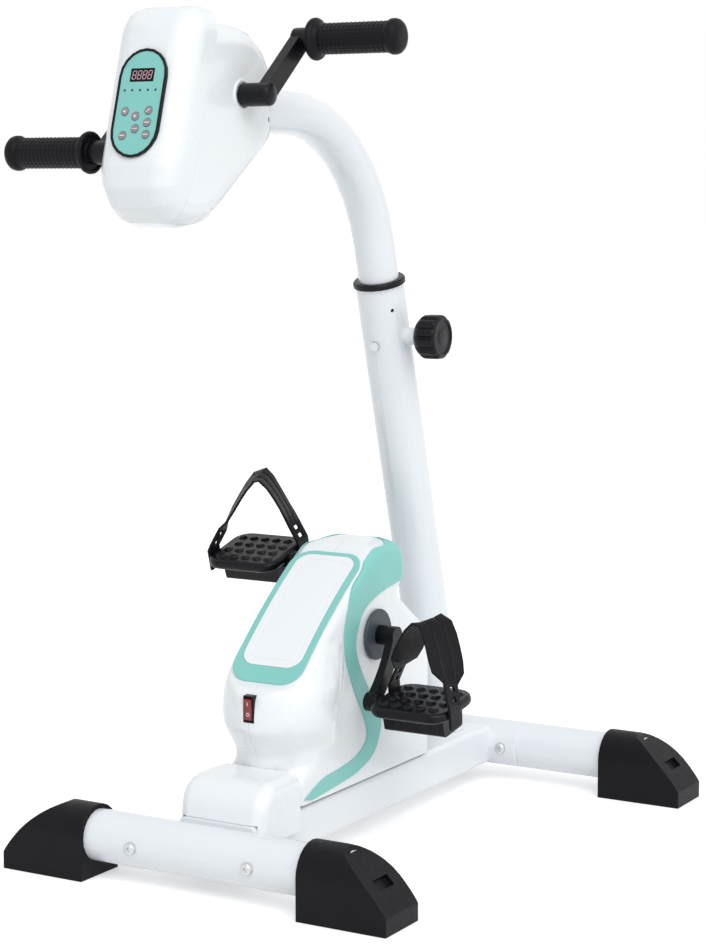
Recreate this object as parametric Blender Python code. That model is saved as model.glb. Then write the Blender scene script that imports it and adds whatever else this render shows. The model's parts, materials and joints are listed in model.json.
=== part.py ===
# Motorised pedal trainer for arms and legs, in metres, +Z up, the user sits at -Y.
import bpy
import bmesh
import math
from mathutils import Matrix, Vector

# Clearance between touching pieces, the distance at which points count as one, and how far
# a cutting body reaches past what it cuts
GAP = 0.0003
MERGE = 0.000001
BEYOND = 0.1

# Base frame
BAR_RADIUS = 0.030
BAR_WALL = 0.002
BAR_HEIGHT = 0.0476
BAR_SPACING = 0.636
FRONT_Y = -0.2761
REAR_Y = FRONT_Y + BAR_SPACING
FRONT_WIDTH = 0.510
REAR_WIDTH = 0.643
BEAM_WIDTH = 0.100
BEAM_TOP = 0.075
BEAM_BOTTOM = 0.025
BEAM_WALL = 0.0025
SADDLE_THICKNESS = 0.004
SADDLE_ANGLE = math.radians(42.0)
FRONT_SADDLE_HALF = 0.092
REAR_SADDLE_HALF = 0.088

# Feet
FOOT_LENGTH = 0.112
FOOT_WALL = 0.0055
FOOT_SOCKET = 0.052
FOOT_RIDGE = 0.035
FOOT_TOE_HEIGHT = 0.020
FOOT_TOE_CURVE = 1.5
FOOT_TOE_FLARE = 0.9
FOOT_TOE_STEPS = 12
FOOT_SLOT_LENGTH = 0.031
FOOT_SLOT_WIDTH = 0.0135
FOOT_SLOT_DEPTH = 0.006
FOOT_SLOT_PLACE = 0.089

# Bolts through the bars
BOLT_RADIUS = 0.004
BOLT_HEAD_RADIUS = 0.0075
BOLT_HEAD_HEIGHT = 0.0045
BOLT_SOCKET_RADIUS = 0.0028
BOLT_SOCKET_DEPTH = 0.0025
BOLT_TAIL = 0.004
NUT_ACROSS = 0.013
NUT_HEIGHT = 0.0065
FRONT_BOLT_X = 0.078
REAR_BOLT_X = 0.068

# Mast
MAST_LEAN = math.radians(15.7)
MAST_RADIUS = 0.030
MAST_WALL = 0.0025
MAST_FOOT_Y = FRONT_Y + 0.563
MAST_LENGTH = 0.614
BUSHING_RIM_RADIUS = 0.0325
BUSHING_RIM_HEIGHT = 0.007
BUSHING_LENGTH = 0.045
BOSS_RADIUS = 0.011
BOSS_PLACE = MAST_LENGTH - 0.0665
BOSS_END = 0.0485
PIN_RADIUS = 0.005
PIN_STEM_RADIUS = 0.004
PIN_SHOULDER = 0.046
PIN_TRAVEL = 0.008
KNOB_RADIUS = 0.0275
KNOB_LENGTH = 0.031
KNOB_FLUTES = 10
KNOB_FLUTE_DEPTH = 0.0018
KNOB_FACE_RECESS = 0.0025
SCREW_PLACE = MAST_LENGTH - 0.0705
SCREW_HEAD_RADIUS = 0.0065
SCREW_HEAD_HEIGHT = 0.0035
SCREW_RADIUS = 0.003
STOP_HOLE_RADIUS = 0.0025
STOP_HOLE_PLACE = MAST_LENGTH - 0.028
STOP_HOLE_TURN = math.radians(53.0)

# Curved tube that carries the head
COLUMN_RADIUS = 0.025
COLUMN_WALL = 0.002
COLUMN_INSERT = 0.240
BEND_RADIUS = 0.211
BEND_START = MAST_LENGTH + 0.051
COLUMN_END_Y = FRONT_Y + 0.046
COLUMN_RUN_Z = BEAM_TOP + BEND_START * math.cos(MAST_LEAN) + BEND_RADIUS * (1.0 - math.sin(MAST_LEAN))
COLUMN_HOLES = 5
COLUMN_HOLE_RADIUS = 0.0055
COLUMN_HOLE_PITCH = 0.030

# Head
HEAD_HALF_WIDTH = 0.050
HEAD_EDGE = 0.026
HEAD_WALL = 0.003
HEAD_RISE = 0.1039
HEAD_HEIGHT = 0.231
HEAD_TOP = COLUMN_RUN_Z + HEAD_RISE
HEAD_STEP = 0.0155
HEAD_BOTTOM = HEAD_TOP - HEAD_HEIGHT
HEAD_HEEL_Y = FRONT_Y - 0.0435
HEAD_SLANT_Z = HEAD_TOP - 0.1385
CHIN_RADIUS = HEAD_HEIGHT * 0.2208
HEEL_RADIUS = HEAD_HEIGHT * 0.3896
BROW_RADIUS = 0.034
HEAD_BACK_Y = FRONT_Y + 0.088
HEAD_BACK_RADIUS = 0.070
FACE_LEAN = math.radians(16.4)
FACE_Y = FRONT_Y - 0.105
FACE_Z = HEAD_TOP - 0.102
FASCIA_DEPTH = 0.046
SIDE_SCREW_HOLE = 0.003

# Console
CONSOLE_WIDTH = 0.0595
CONSOLE_LENGTH = 0.1175
CONSOLE_RIM = 0.0026
CONSOLE_PROUD = 0.0028
CONSOLE_BODY_INSET = 0.0010
CONSOLE_DEPTH = 0.008
PANEL_THICKNESS = 0.0025
PANEL_DROP = 0.0008
KEY_ROOM = 0.0025
DISPLAY_WIDTH = 0.0295
DISPLAY_HEIGHT = 0.0140
DISPLAY_X = -0.001
DISPLAY_Y = 0.030
DISPLAY_THICKNESS = 0.0014
KEY_RADIUS = 0.0046
KEY_HEIGHT = 0.0030
KEY_PROUD = 0.0011
KEY_TRAVEL = 0.0008
KEY_CLEARANCE = 0.0004

# Hand crank
HAND_Y = FRONT_Y + 0.013
HAND_Z = HEAD_TOP - 0.0905
HAND_RADIUS = 0.095
HAND_ANGLE = math.radians(39.9)
HAND_AXLE_RADIUS = 0.006
HAND_BOSS_RADIUS = 0.0125
HAND_BOSS_START = 0.0515
HAND_ARM_INNER = 0.0725
HAND_ARM_OUTER = 0.0845
HAND_ARM_WIDTH = 0.021
HAND_END_RADIUS = 0.0130
HAND_END_OUTER = 0.0940
SPINDLE_RADIUS = 0.0055
GRIP_START = 0.0945
GRIP_END = 0.2050
GRIP_RADIUS = 0.0160
GRIP_FLANGE_RADIUS = 0.0230
GRIP_FLARE_RADIUS = 0.0195
GRIP_RIBS = 11
GRIP_RIB_HEIGHT = 0.0009
GEARBOX_WIDTH = 0.064
GEARBOX_HEIGHT = 0.066
GEARBOX_FRONT = 0.050
HAND_MOTOR_RADIUS = 0.019
HAND_MOTOR_LENGTH = 0.060
HAND_MOTOR_Y = HAND_Y - 0.029

# Drive housing
HOUSING_HALF = 0.054
HOUSING_EDGE = 0.013
HOUSING_WALL = 0.003
HOUSING_BOTTOM = 0.078
HOUSING_BACK_Y = FRONT_Y + 0.436
NECK_Y = FRONT_Y + 0.115
BULB_Y = FRONT_Y + 0.0965
BULB_BOTTOM = 0.131
BULB_CREASE = 0.164
CHEST_RADIUS = 0.040
CREST_RADIUS = 0.070
BULB_DEPTH = 0.030
NECK_DEPTH = 0.042
NECK_LIFT = 0.006
LEDGE_Z = 0.100
DECK_Y = FRONT_Y + 0.1994
DECK_Z = 0.2866
DECK_SLOPE = math.radians(38.75)
DECK_ARCH_RADIUS = 0.83
DECK_ARCH_REACH = 0.114
DECK_STEPS = 8
HOUSING_TOP = 0.362
CROWN_DEPTH = 0.022
CROWN_HALF = 0.056
HOUSING_TOP_BACK_Y = FRONT_Y + 0.369
MOULD_STEPS = 16
TRIM_THICKNESS = 0.0012
TRIM_CLEARING_WIDTH = 0.094
TRIM_CLEARING_CORNER = 0.030
TRIM_CLEARING_Y = FRONT_Y + 0.349
DECK_FRAME_WIDTH = 0.096
DECK_FRAME_LENGTH = 0.2075
DECK_FRAME_THICKNESS = 0.002
DECK_FRAME_CORNER = 0.026
DECK_PANEL_WIDTH = 0.080
DECK_PANEL_LENGTH = 0.178
DECK_PANEL_THICKNESS = 0.0024
DECK_PANEL_LIFT = 0.008
DECK_EMBOSS_INSET = 0.010
DECK_EMBOSS_DEPTH = 0.0006
SWITCH_Z = 0.1915
SWITCH_WIDTH = 0.0145
SWITCH_HEIGHT = 0.0320
SWITCH_PROUD = 0.002
SWITCH_BODY = 0.016
SWITCH_RIM = 0.0018
ROCKER_SWING = math.radians(9.0)
ROCKER_DEPTH = 0.010
INLET_WIDTH = 0.044
INLET_HEIGHT = 0.036
SOCKET_WIDTH = 0.022
SOCKET_HEIGHT = 0.016
INLET_Z = 0.105
INLET_DEPTH = 0.018
INLET_PIN_LENGTH = 0.009
NOSE_FRONT = 0.034
NOSE_HALF = 0.0575
NOSE_TOP = 0.119
NOSE_EDGE = 0.016
NOSE_WALL = 0.0025
NOSE_BOTTOM = 0.052

# Foot crank
FOOT_CRANK_Y = FRONT_Y + 0.2934
FOOT_CRANK_Z = 0.2512
FOOT_CRANK_RADIUS = 0.0873
FOOT_CRANK_ANGLE = math.radians(234.0)
FOOT_AXLE_RADIUS = 0.0085
FOOT_DISC_RADIUS = 0.031
FOOT_DISC_START = 0.0560
FOOT_DISC_THICKNESS = 0.0035
FOOT_HUB_RADIUS = 0.0120
FOOT_HUB_START = 0.0602
FOOT_ARM_INNER = 0.0745
FOOT_ARM_OUTER = 0.0845
FOOT_ARM_WIDTH = 0.019
FOOT_ARM_BOW = 0.006
FOOT_END_RADIUS = 0.0115
FOOT_END_INNER = 0.0725
FOOT_END_OUTER = 0.0900
BEARING_RADIUS = 0.016
BEARING_WIDTH = 0.010
PULLEY_RADIUS = 0.048
PULLEY_WIDTH = 0.014
MOTOR_RADIUS = 0.030
MOTOR_LENGTH = 0.060
MOTOR_SHAFT_RADIUS = 0.004
MOTOR_PULLEY_RADIUS = 0.010
MOTOR_Y = FRONT_Y + 0.190
MOTOR_Z = 0.150
BELT_THICKNESS = 0.002
BELT_WIDTH = 0.010
BELT_STEPS = 20

# Pedals
PEDAL_INNER = 0.096
PEDAL_OUTER = 0.197
PEDAL_SPINDLE_RADIUS = 0.006
PEDAL_SPINDLE_END = 0.188
PEDAL_TUBE_RADIUS = 0.0095
PEDAL_TUBE_END = PEDAL_SPINDLE_END + 0.004
PEDAL_HEEL = -0.047
PEDAL_TOE = 0.0447
PEDAL_HEEL_CORNER = 0.020
PEDAL_TOE_CORNER = 0.022
PEDAL_EDGE = 0.005
PEDAL_TREAD = 0.0125
PEDAL_UNDERSIDE = 0.0
PEDAL_TILT_RIGHT = math.radians(9.5)
PEDAL_TILT_LEFT = math.radians(16.1)
TREAD_BUMP_ROWS = 4
TREAD_BUMP_COLUMNS = 5
TREAD_BUMP_HEIGHT = 0.003
TREAD_BUMP_RADIUS = 0.0072
TREAD_BUMP_MARGIN = 0.009
TREAD_BUMP_SHIFT = 0.125
WEIGHT_INNER = 0.105
WEIGHT_OUTER = 0.185
WEIGHT_BOTTOM = -0.025
WEIGHT_BACK = 0.024
WEIGHT_FRONT = -0.020
WEIGHT_FLARE = 0.004
STRAP_THICKNESS = 0.0030
STRAP_TOP = 0.096
STRAP_SPRING = 0.016
STRAP_BOTTOM = -0.010
STRAP_ROUNDING = 0.35
STRAP_PAD_WIDTH = 0.045
STRAP_LEG_WIDTH = 0.024
STRAP_PAD_START = 0.036
STRAP_PAD_RUN = 0.012
STRAP_GROOVE = 0.45
STRAP_OUTER_PLACE = -0.018
STRAP_INNER_PLACE = 0.028
STRAP_TOP_PLACE = 0.034
STRAP_STEPS = 20
STRAP_SLOT_WIDTH = 0.009
STRAP_SLOT_HEIGHT = 0.006
STRAP_SLOT_PLACES = (0.022, 0.032)

# Curve detail
ROUND = 24
MID_ROUND = 16
SMALL_ROUND = 10
GRIP_SIDES = 14
FILLET_STEPS = 4
EDGE_STEPS = 3
BEND_STEPS = 8
STADIUM_STEPS = 5


# Scene and material helpers
def clear_scene():
    for obj in list(bpy.data.objects):
        bpy.data.objects.remove(obj)


def material(name, color, roughness, metallic=0.0):
    result = bpy.data.materials.get(name)
    if result is None:
        result = bpy.data.materials.new(name)
        result.use_nodes = True
        shader = result.node_tree.nodes["Principled BSDF"]
        shader.inputs["Base Color"].default_value = (*color, 1.0)
        shader.inputs["Roughness"].default_value = roughness
        shader.inputs["Metallic"].default_value = metallic
    return result


def white_paint():
    return material("white_paint", (0.86, 0.88, 0.90), 0.28)


def white_plastic():
    return material("white_plastic", (0.87, 0.89, 0.91), 0.30)


def aqua_plastic():
    return material("aqua_plastic", (0.24, 0.62, 0.54), 0.35)


def black_rubber():
    return material("black_rubber", (0.018, 0.018, 0.020), 0.60)


def black_plastic():
    return material("black_plastic", (0.020, 0.020, 0.023), 0.42)


def grey_plastic():
    return material("grey_plastic", (0.10, 0.12, 0.14), 0.50)


def key_plastic():
    return material("key_plastic", (0.30, 0.25, 0.27), 0.40)


def bright_steel():
    return material("bright_steel", (0.62, 0.63, 0.64), 0.25, 1.0)


def switch_red():
    return material("switch_red", (0.45, 0.02, 0.02), 0.25)


# Mesh helpers
def mesh_object(name, bm, mat, sharp=30.0):
    bmesh.ops.remove_doubles(bm, verts=bm.verts, dist=MERGE)
    bmesh.ops.recalc_face_normals(bm, faces=bm.faces)
    if bm.calc_volume(signed=True) < 0.0:
        bmesh.ops.reverse_faces(bm, faces=bm.faces)
    mesh = bpy.data.meshes.new(name)
    bm.to_mesh(mesh)
    bm.free()
    mesh.materials.append(mat)
    mesh.shade_smooth()
    mesh.set_sharp_from_angle(angle=math.radians(sharp))
    obj = bpy.data.objects.new(name, mesh)
    bpy.context.scene.collection.objects.link(obj)
    return obj


def combine(obj, other, operation, sharp=30.0):
    """Boolean of obj with other, which is used up."""
    step = obj.modifiers.new("combine", 'BOOLEAN')
    step.operation = operation
    step.solver = 'EXACT'
    step.object = other
    bpy.context.view_layer.update()
    evaluated = obj.evaluated_get(bpy.context.evaluated_depsgraph_get())
    mesh = bpy.data.meshes.new_from_object(evaluated)
    obj.modifiers.clear()
    obj.data = mesh
    bpy.data.objects.remove(other)
    bm = bmesh.new()
    bm.from_mesh(mesh)
    bmesh.ops.remove_doubles(bm, verts=bm.verts, dist=MERGE)
    bmesh.ops.dissolve_degenerate(bm, dist=MERGE, edges=bm.edges)
    bm.to_mesh(mesh)
    bm.free()
    mesh.shade_smooth()
    mesh.set_sharp_from_angle(angle=math.radians(sharp))
    return obj


def cut(obj, *others):
    for other in others:
        combine(obj, other, 'DIFFERENCE')
    return obj


def join(obj, *others):
    for other in others:
        combine(obj, other, 'UNION')
    return obj


def keep_inside(obj, other):
    return combine(obj, other, 'INTERSECT')


def set_origin(obj, point):
    """Moves the object's origin to a point and leaves its shape where it is."""
    shift = obj.matrix_world.inverted() @ Vector(point)
    obj.data.transform(Matrix.Translation(-shift))
    obj.location = Vector(point)
    bpy.context.view_layer.update()


def place(obj, location, rotation=(0.0, 0.0, 0.0)):
    obj.location = location
    obj.rotation_euler = rotation
    bpy.context.view_layer.update()
    return obj


def bake(obj):
    """Writes the object's placement into its mesh."""
    bpy.context.view_layer.update()
    obj.data.transform(obj.matrix_world)
    obj.matrix_world = Matrix.Identity(4)
    bpy.context.view_layer.update()
    return obj


def fillet_outline(corners, inset=0.0, steps=FILLET_STEPS):
    """Closed outline with a rounded turn at each (a, b, radius) corner, counter-clockwise.

    inset moves every side inwards and keeps the centres of the rounded turns."""
    count = len(corners)
    points = []
    for i in range(count):
        here = Vector(corners[i][:2])
        radius = corners[i][2]
        before = (here - Vector(corners[i - 1][:2])).normalized()
        after = (Vector(corners[(i + 1) % count][:2]) - here).normalized()
        turn = math.atan2(before.x * after.y - before.y * after.x, before.dot(after))
        side = 1.0 if turn >= 0.0 else -1.0
        normal_in = Vector((-before.y, before.x))
        reach = radius * math.tan(abs(turn) / 2.0)
        centre = here - before * reach + normal_in * radius * side
        start = -normal_in * side
        final = radius - inset * side
        bisector = (normal_in + Vector((-after.y, after.x))).normalized()
        tip = here + bisector * inset / math.cos(turn / 2.0)
        if radius == 0.0:
            points.append(tip)
            continue
        if side > 0.0 and inset >= radius:
            points += [tip] * (steps + 1)
            continue
        for k in range(steps + 1):
            angle = turn * k / steps
            spoke = Matrix.Rotation(angle, 2) @ start
            points.append(centre + spoke * final)
    return [(p.x, p.y) for p in points]


def loft(name, loops, mat, sharp=30.0):
    """Closed body through loops that have the same number of points."""
    bm = bmesh.new()
    rings = [[bm.verts.new(p) for p in loop] for loop in loops]
    count = len(rings[0])
    for low, high in zip(rings[:-1], rings[1:]):
        for i in range(count):
            j = (i + 1) % count
            bm.faces.new((low[i], low[j], high[j], high[i]))
    bm.faces.new(list(reversed(rings[0])))
    bm.faces.new(rings[-1])
    return mesh_object(name, bm, mat, sharp)


def prism(name, outline, low, high, mat, axis='X'):
    """Extrusion of an outline: (y, z) along X, (x, z) along Y or (x, y) along Z."""
    loops = [[on_axis(p, level, axis) for p in outline] for level in (low, high)]
    return loft(name, loops, mat)


def on_axis(point, level, axis):
    if axis == 'X':
        return (level, point[0], point[1])
    if axis == 'Y':
        return (point[0], level, point[1])
    return (point[0], point[1], level)


def soft_prism(name, corners, low, high, edge, mat, inset=0.0, axis='X', soft_ends=(True, True)):
    """Extrusion whose outline draws in with a round edge at each soft end."""
    loops = []
    reach = edge - inset
    for k in range(EDGE_STEPS + 1):
        angle = math.pi / 2.0 * k / EDGE_STEPS
        if soft_ends[0]:
            level = low + inset + reach * (1.0 - math.sin(angle))
            loops.append((level, inset + reach * (1.0 - math.cos(angle))))
    loops.sort()
    if not soft_ends[0]:
        loops.append((low, inset))
    top = []
    for k in range(EDGE_STEPS + 1):
        angle = math.pi / 2.0 * k / EDGE_STEPS
        if soft_ends[1]:
            level = high - inset - reach * (1.0 - math.sin(angle))
            top.append((level, inset + reach * (1.0 - math.cos(angle))))
    top.sort()
    if not soft_ends[1]:
        top.append((high, inset))
    rings = []
    for level, draw in loops + top:
        outline = fillet_outline(corners, draw)
        rings.append([on_axis(p, level, axis) for p in outline])
    return loft(name, rings, mat)


def turned(name, profile, mat, segments=ROUND, closed=False, sharp=30.0):
    """Body turned about Z from (radius, height) points; closed joins the last to the first."""
    bm = bmesh.new()
    rings = []
    for radius, height in profile:
        if radius == 0.0:
            rings.append([bm.verts.new((0.0, 0.0, height))])
            continue
        ring = []
        for i in range(segments):
            angle = 2.0 * math.pi * i / segments
            ring.append(bm.verts.new((radius * math.cos(angle), radius * math.sin(angle), height)))
        rings.append(ring)
    pairs = list(zip(rings[:-1], rings[1:]))
    if closed:
        pairs.append((rings[-1], rings[0]))
    for low, high in pairs:
        for i in range(segments):
            j = (i + 1) % segments
            corners = [low[i % len(low)], low[j % len(low)], high[j % len(high)], high[i % len(high)]]
            unique = list(dict.fromkeys(corners))
            if len(unique) > 2:
                bm.faces.new(unique)
    return mesh_object(name, bm, mat, sharp)


def rod(name, radius, low, high, mat, segments=ROUND):
    return turned(name, [(0.0, low), (radius, low), (radius, high), (0.0, high)], mat, segments)


def pipe(name, outer, inner, low, high, mat, segments=ROUND):
    profile = [(inner, low), (outer, low), (outer, high), (inner, high)]
    return turned(name, profile, mat, segments, closed=True)


def box(name, low, high, mat):
    bm = bmesh.new()
    size = [high[i] - low[i] for i in range(3)]
    middle = [(high[i] + low[i]) / 2.0 for i in range(3)]
    bmesh.ops.create_cube(bm, size=1.0, matrix=Matrix.Translation(middle) @ Matrix.Diagonal((*size, 1.0)))
    return mesh_object(name, bm, mat)


def rounded_rectangle(width, height, radius):
    a = width / 2.0
    b = height / 2.0
    return [(a, -b, radius), (a, b, radius), (-a, b, radius), (-a, -b, radius)]


TURN_TO_X = (0.0, math.pi / 2.0, 0.0)
TURN_TO_Y = (-math.pi / 2.0, 0.0, 0.0)


def side_name(base, side):
    return base + ("_right" if side > 0 else "_left")


# Base frame
def bar(name, width, y, bolt_x):
    half = width / 2.0 - FOOT_LENGTH + FOOT_SOCKET - GAP
    tube = pipe(name, BAR_RADIUS, BAR_RADIUS - BAR_WALL, -half, half, white_paint())
    place(tube, (0.0, y, BAR_HEIGHT), TURN_TO_X)
    bake(tube)
    for side in (-1, 1):
        hole = rod("hole", BOLT_RADIUS + GAP, -0.05, 0.05, white_paint(), SMALL_ROUND)
        place(hole, (side * bolt_x, y, BAR_HEIGHT), TURN_TO_Y)
        cut(tube, hole)
    set_origin(tube, (0.0, y, BAR_HEIGHT))
    return tube


def saddle(y, towards, half_width):
    """Curved plate that cups a bar; towards is +1 where the beam lies behind the bar."""
    inner = BAR_RADIUS + GAP
    outer = inner + SADDLE_THICKNESS
    outline = []
    for radius, way in ((outer, 1.0), (inner, -1.0)):
        for k in range(9):
            angle = way * SADDLE_ANGLE * (k / 4.0 - 1.0)
            outline.append((y + towards * radius * math.cos(angle), BAR_HEIGHT + radius * math.sin(angle)))
    return prism("saddle", outline, -half_width, half_width, white_paint())


def main_beam():
    half = BEAM_WIDTH / 2.0
    middle = (BEAM_TOP + BEAM_BOTTOM) / 2.0
    height = BEAM_TOP - BEAM_BOTTOM
    start = FRONT_Y + BAR_RADIUS * 0.9
    end = REAR_Y - BAR_RADIUS * 0.9
    section = [(x, z + middle) for x, z in fillet_outline(rounded_rectangle(BEAM_WIDTH, height, 0.006))]
    beam = prism("main_beam", section, start, end, white_paint(), 'Y')
    inner_half = half - BEAM_WALL
    hollow_low = (-inner_half, start - 0.01, BEAM_BOTTOM + BEAM_WALL)
    hollow_high = (inner_half, end + 0.01, BEAM_TOP - BEAM_WALL)
    cut(beam, box("hollow", hollow_low, hollow_high, white_paint()))
    join(beam, saddle(FRONT_Y, 1.0, FRONT_SADDLE_HALF))
    join(beam, saddle(REAR_Y, -1.0, REAR_SADDLE_HALF))
    for y in (FRONT_Y, REAR_Y):
        bore = rod("bore", BAR_RADIUS + GAP, -0.11, 0.11, white_paint())
        cut(beam, place(bore, (0.0, y, BAR_HEIGHT), TURN_TO_X))
    for y, x in ((FRONT_Y, FRONT_BOLT_X), (REAR_Y, REAR_BOLT_X)):
        for side in (-1, 1):
            hole = rod("hole", BOLT_RADIUS + GAP, -0.05, 0.05, white_paint(), SMALL_ROUND)
            cut(beam, place(hole, (side * x, y, BAR_HEIGHT), TURN_TO_Y))
    return beam


def toe_height(distance):
    """Height of the sloping toe at a distance from the foot's inner end."""
    top = BAR_HEIGHT + BAR_RADIUS + FOOT_WALL
    share = max(0.0, (distance - FOOT_RIDGE) / (FOOT_LENGTH - FOOT_RIDGE))
    return FOOT_TOE_HEIGHT + (top - FOOT_TOE_HEIGHT) * (1.0 - share ** FOOT_TOE_CURVE) ** FOOT_TOE_FLARE


def foot(name, side, width, y):
    """Moulded end cap: an arch section cut by a falling toe, with a socket for the bar."""
    outer = BAR_RADIUS + FOOT_WALL
    arch = [(-outer, 0.0), (outer, 0.0)]
    for k in range(13):
        angle = math.pi * k / 12
        arch.append((outer * math.cos(angle), BAR_HEIGHT + outer * math.sin(angle)))
    body = prism(name, arch, 0.0, FOOT_LENGTH, black_rubber())
    toe = [(-BEYOND, -BEYOND), (FOOT_LENGTH, -BEYOND)]
    for k in range(FOOT_TOE_STEPS + 1):
        share = math.cos(math.pi / 2.0 * k / FOOT_TOE_STEPS)
        distance = FOOT_RIDGE + (FOOT_LENGTH - FOOT_RIDGE) * share
        toe.append((distance, toe_height(distance) + MERGE))
    toe.append((-BEYOND, BAR_HEIGHT + outer + MERGE))
    keep_inside(body, prism("toe", toe, -BEYOND, BEYOND, black_rubber(), 'Y'))
    socket = rod("socket", BAR_RADIUS + GAP, -BEYOND, FOOT_SOCKET, black_rubber())
    cut(body, place(socket, (0.0, 0.0, BAR_HEIGHT), TURN_TO_X))
    half = FOOT_SLOT_WIDTH / 2.0
    long_half = FOOT_SLOT_LENGTH / 2.0
    fall = toe_height(FOOT_SLOT_PLACE - half) - toe_height(FOOT_SLOT_PLACE + half)
    slot = box("slot", (-half, -long_half, -FOOT_SLOT_DEPTH), (half, long_half, FOOT_SLOT_DEPTH), black_rubber())
    slope = math.atan2(fall, FOOT_SLOT_WIDTH)
    cut(body, place(slot, (FOOT_SLOT_PLACE, 0.0, toe_height(FOOT_SLOT_PLACE)), (0.0, slope, 0.0)))
    inner_end = width / 2.0 - FOOT_LENGTH
    place(body, (side * inner_end, y, 0.0), (0.0, 0.0, 0.0 if side > 0 else math.pi))
    return body


def frame_bolt(name, x, y, reach_back, reach_front):
    """Round-headed bolt along Y with its nut; the head is on the user's side."""
    profile = [
        (0.0, -BOLT_HEAD_HEIGHT + BOLT_SOCKET_DEPTH),
        (BOLT_SOCKET_RADIUS, -BOLT_HEAD_HEIGHT + BOLT_SOCKET_DEPTH),
        (BOLT_SOCKET_RADIUS, -BOLT_HEAD_HEIGHT),
        (BOLT_HEAD_RADIUS * 0.66, -BOLT_HEAD_HEIGHT),
        (BOLT_HEAD_RADIUS * 0.90, -BOLT_HEAD_HEIGHT * 0.70),
        (BOLT_HEAD_RADIUS, -BOLT_HEAD_HEIGHT * 0.25),
        (BOLT_HEAD_RADIUS, 0.0),
        (BOLT_RADIUS, 0.0),
        (BOLT_RADIUS, reach_front + reach_back + NUT_HEIGHT + BOLT_TAIL),
        (0.0, reach_front + reach_back + NUT_HEIGHT + BOLT_TAIL),
    ]
    bolt = turned(name, profile, bright_steel(), SMALL_ROUND)
    nut_start = reach_front + reach_back
    nut = rod("nut", NUT_ACROSS / math.sqrt(3.0), nut_start, nut_start + NUT_HEIGHT, bright_steel(), 6)
    join(bolt, nut)
    return place(bolt, (x, y - reach_front, BAR_HEIGHT), TURN_TO_Y)


def frame_bolts():
    bare = BAR_RADIUS + GAP
    plated = bare + SADDLE_THICKNESS + GAP
    for side in (-1, 1):
        frame_bolt(side_name("front_bolt", side), side * FRONT_BOLT_X, FRONT_Y, plated, bare)
        frame_bolt(side_name("rear_bolt", side), side * REAR_BOLT_X, REAR_Y, bare, plated)


# Mast
def on_mast(distance):
    """Point on the mast's axis at a distance from the beam's top."""
    y = MAST_FOOT_Y - distance * math.sin(MAST_LEAN)
    return Vector((0.0, y, BEAM_TOP + distance * math.cos(MAST_LEAN)))


def mast_tube():
    low = -0.03
    tube = rod("mast_tube", MAST_RADIUS, low, MAST_LENGTH, white_paint())
    boss = rod("boss", BOSS_RADIUS, 0.0, BOSS_END, white_paint(), MID_ROUND)
    join(tube, place(boss, (0.0, 0.0, BOSS_PLACE), TURN_TO_X))
    cut(tube, rod("bore", MAST_RADIUS - MAST_WALL, low - 0.01, MAST_LENGTH + 0.01, white_paint()))
    pin_hole = rod("pin_hole", PIN_RADIUS + GAP, 0.0, 0.08, white_paint(), SMALL_ROUND)
    cut(tube, place(pin_hole, (0.0, 0.0, BOSS_PLACE), TURN_TO_X))
    screw_hole = rod("screw_hole", SCREW_RADIUS + GAP, 0.0, 0.05, white_paint(), SMALL_ROUND)
    cut(tube, place(screw_hole, (0.0, 0.0, SCREW_PLACE), (math.pi / 2.0, 0.0, 0.0)))
    stop_hole = rod("stop_hole", STOP_HOLE_RADIUS, 0.0, 0.05, white_paint(), SMALL_ROUND)
    cut(tube, place(stop_hole, (0.0, 0.0, STOP_HOLE_PLACE), (math.pi / 2.0, 0.0, STOP_HOLE_TURN)))
    place(tube, on_mast(0.0), (MAST_LEAN, 0.0, 0.0))
    bake(tube)
    below = BEAM_TOP + GAP
    cut(tube, box("below", (-0.1, MAST_FOOT_Y - 0.2, below - 0.2), (0.1, MAST_FOOT_Y + 0.2, below), white_paint()))
    set_origin(tube, on_mast(0.0))
    return tube


def mast_bushing():
    """Sleeve with a rim between the mast and the sliding tube."""
    inner = COLUMN_RADIUS + GAP
    sleeve = MAST_RADIUS - MAST_WALL - GAP
    rim_low = GAP
    rim_high = GAP + BUSHING_RIM_HEIGHT
    profile = [
        (inner, -BUSHING_LENGTH),
        (sleeve, -BUSHING_LENGTH),
        (sleeve, rim_low),
        (BUSHING_RIM_RADIUS, rim_low),
        (BUSHING_RIM_RADIUS, rim_high - 0.002),
        (BUSHING_RIM_RADIUS - 0.002, rim_high),
        (inner, rim_high),
    ]
    bushing = turned("mast_bushing", profile, black_plastic(), closed=True)
    return place(bushing, on_mast(MAST_LENGTH), (MAST_LEAN, 0.0, 0.0))


def mast_screw():
    """Hexagon screw on the user's side of the mast."""
    seat = MAST_RADIUS + GAP
    tip = MAST_RADIUS - MAST_WALL
    screw = rod("mast_screw", SCREW_RADIUS, tip, seat + 0.001, bright_steel(), SMALL_ROUND)
    head = rod("head", SCREW_HEAD_RADIUS, seat, seat + SCREW_HEAD_HEIGHT, bright_steel(), 6)
    join(screw, head)
    place(screw, on_mast(SCREW_PLACE), (MAST_LEAN + math.pi / 2.0, 0.0, 0.0))
    return screw


def adjust_pin():
    """Plunger that slides in the mast's boss and carries the knob."""
    tip = COLUMN_RADIUS + GAP
    profile = [
        (0.0, tip),
        (PIN_RADIUS - 0.001, tip),
        (PIN_RADIUS, tip + 0.001),
        (PIN_RADIUS, PIN_SHOULDER),
        (PIN_STEM_RADIUS, PIN_SHOULDER),
        (PIN_STEM_RADIUS, BOSS_END + KNOB_LENGTH * 0.7),
        (0.0, BOSS_END + KNOB_LENGTH * 0.7),
    ]
    pin = turned("adjust_pin", profile, bright_steel(), SMALL_ROUND)
    return place(pin, on_mast(BOSS_PLACE), TURN_TO_X)


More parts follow.
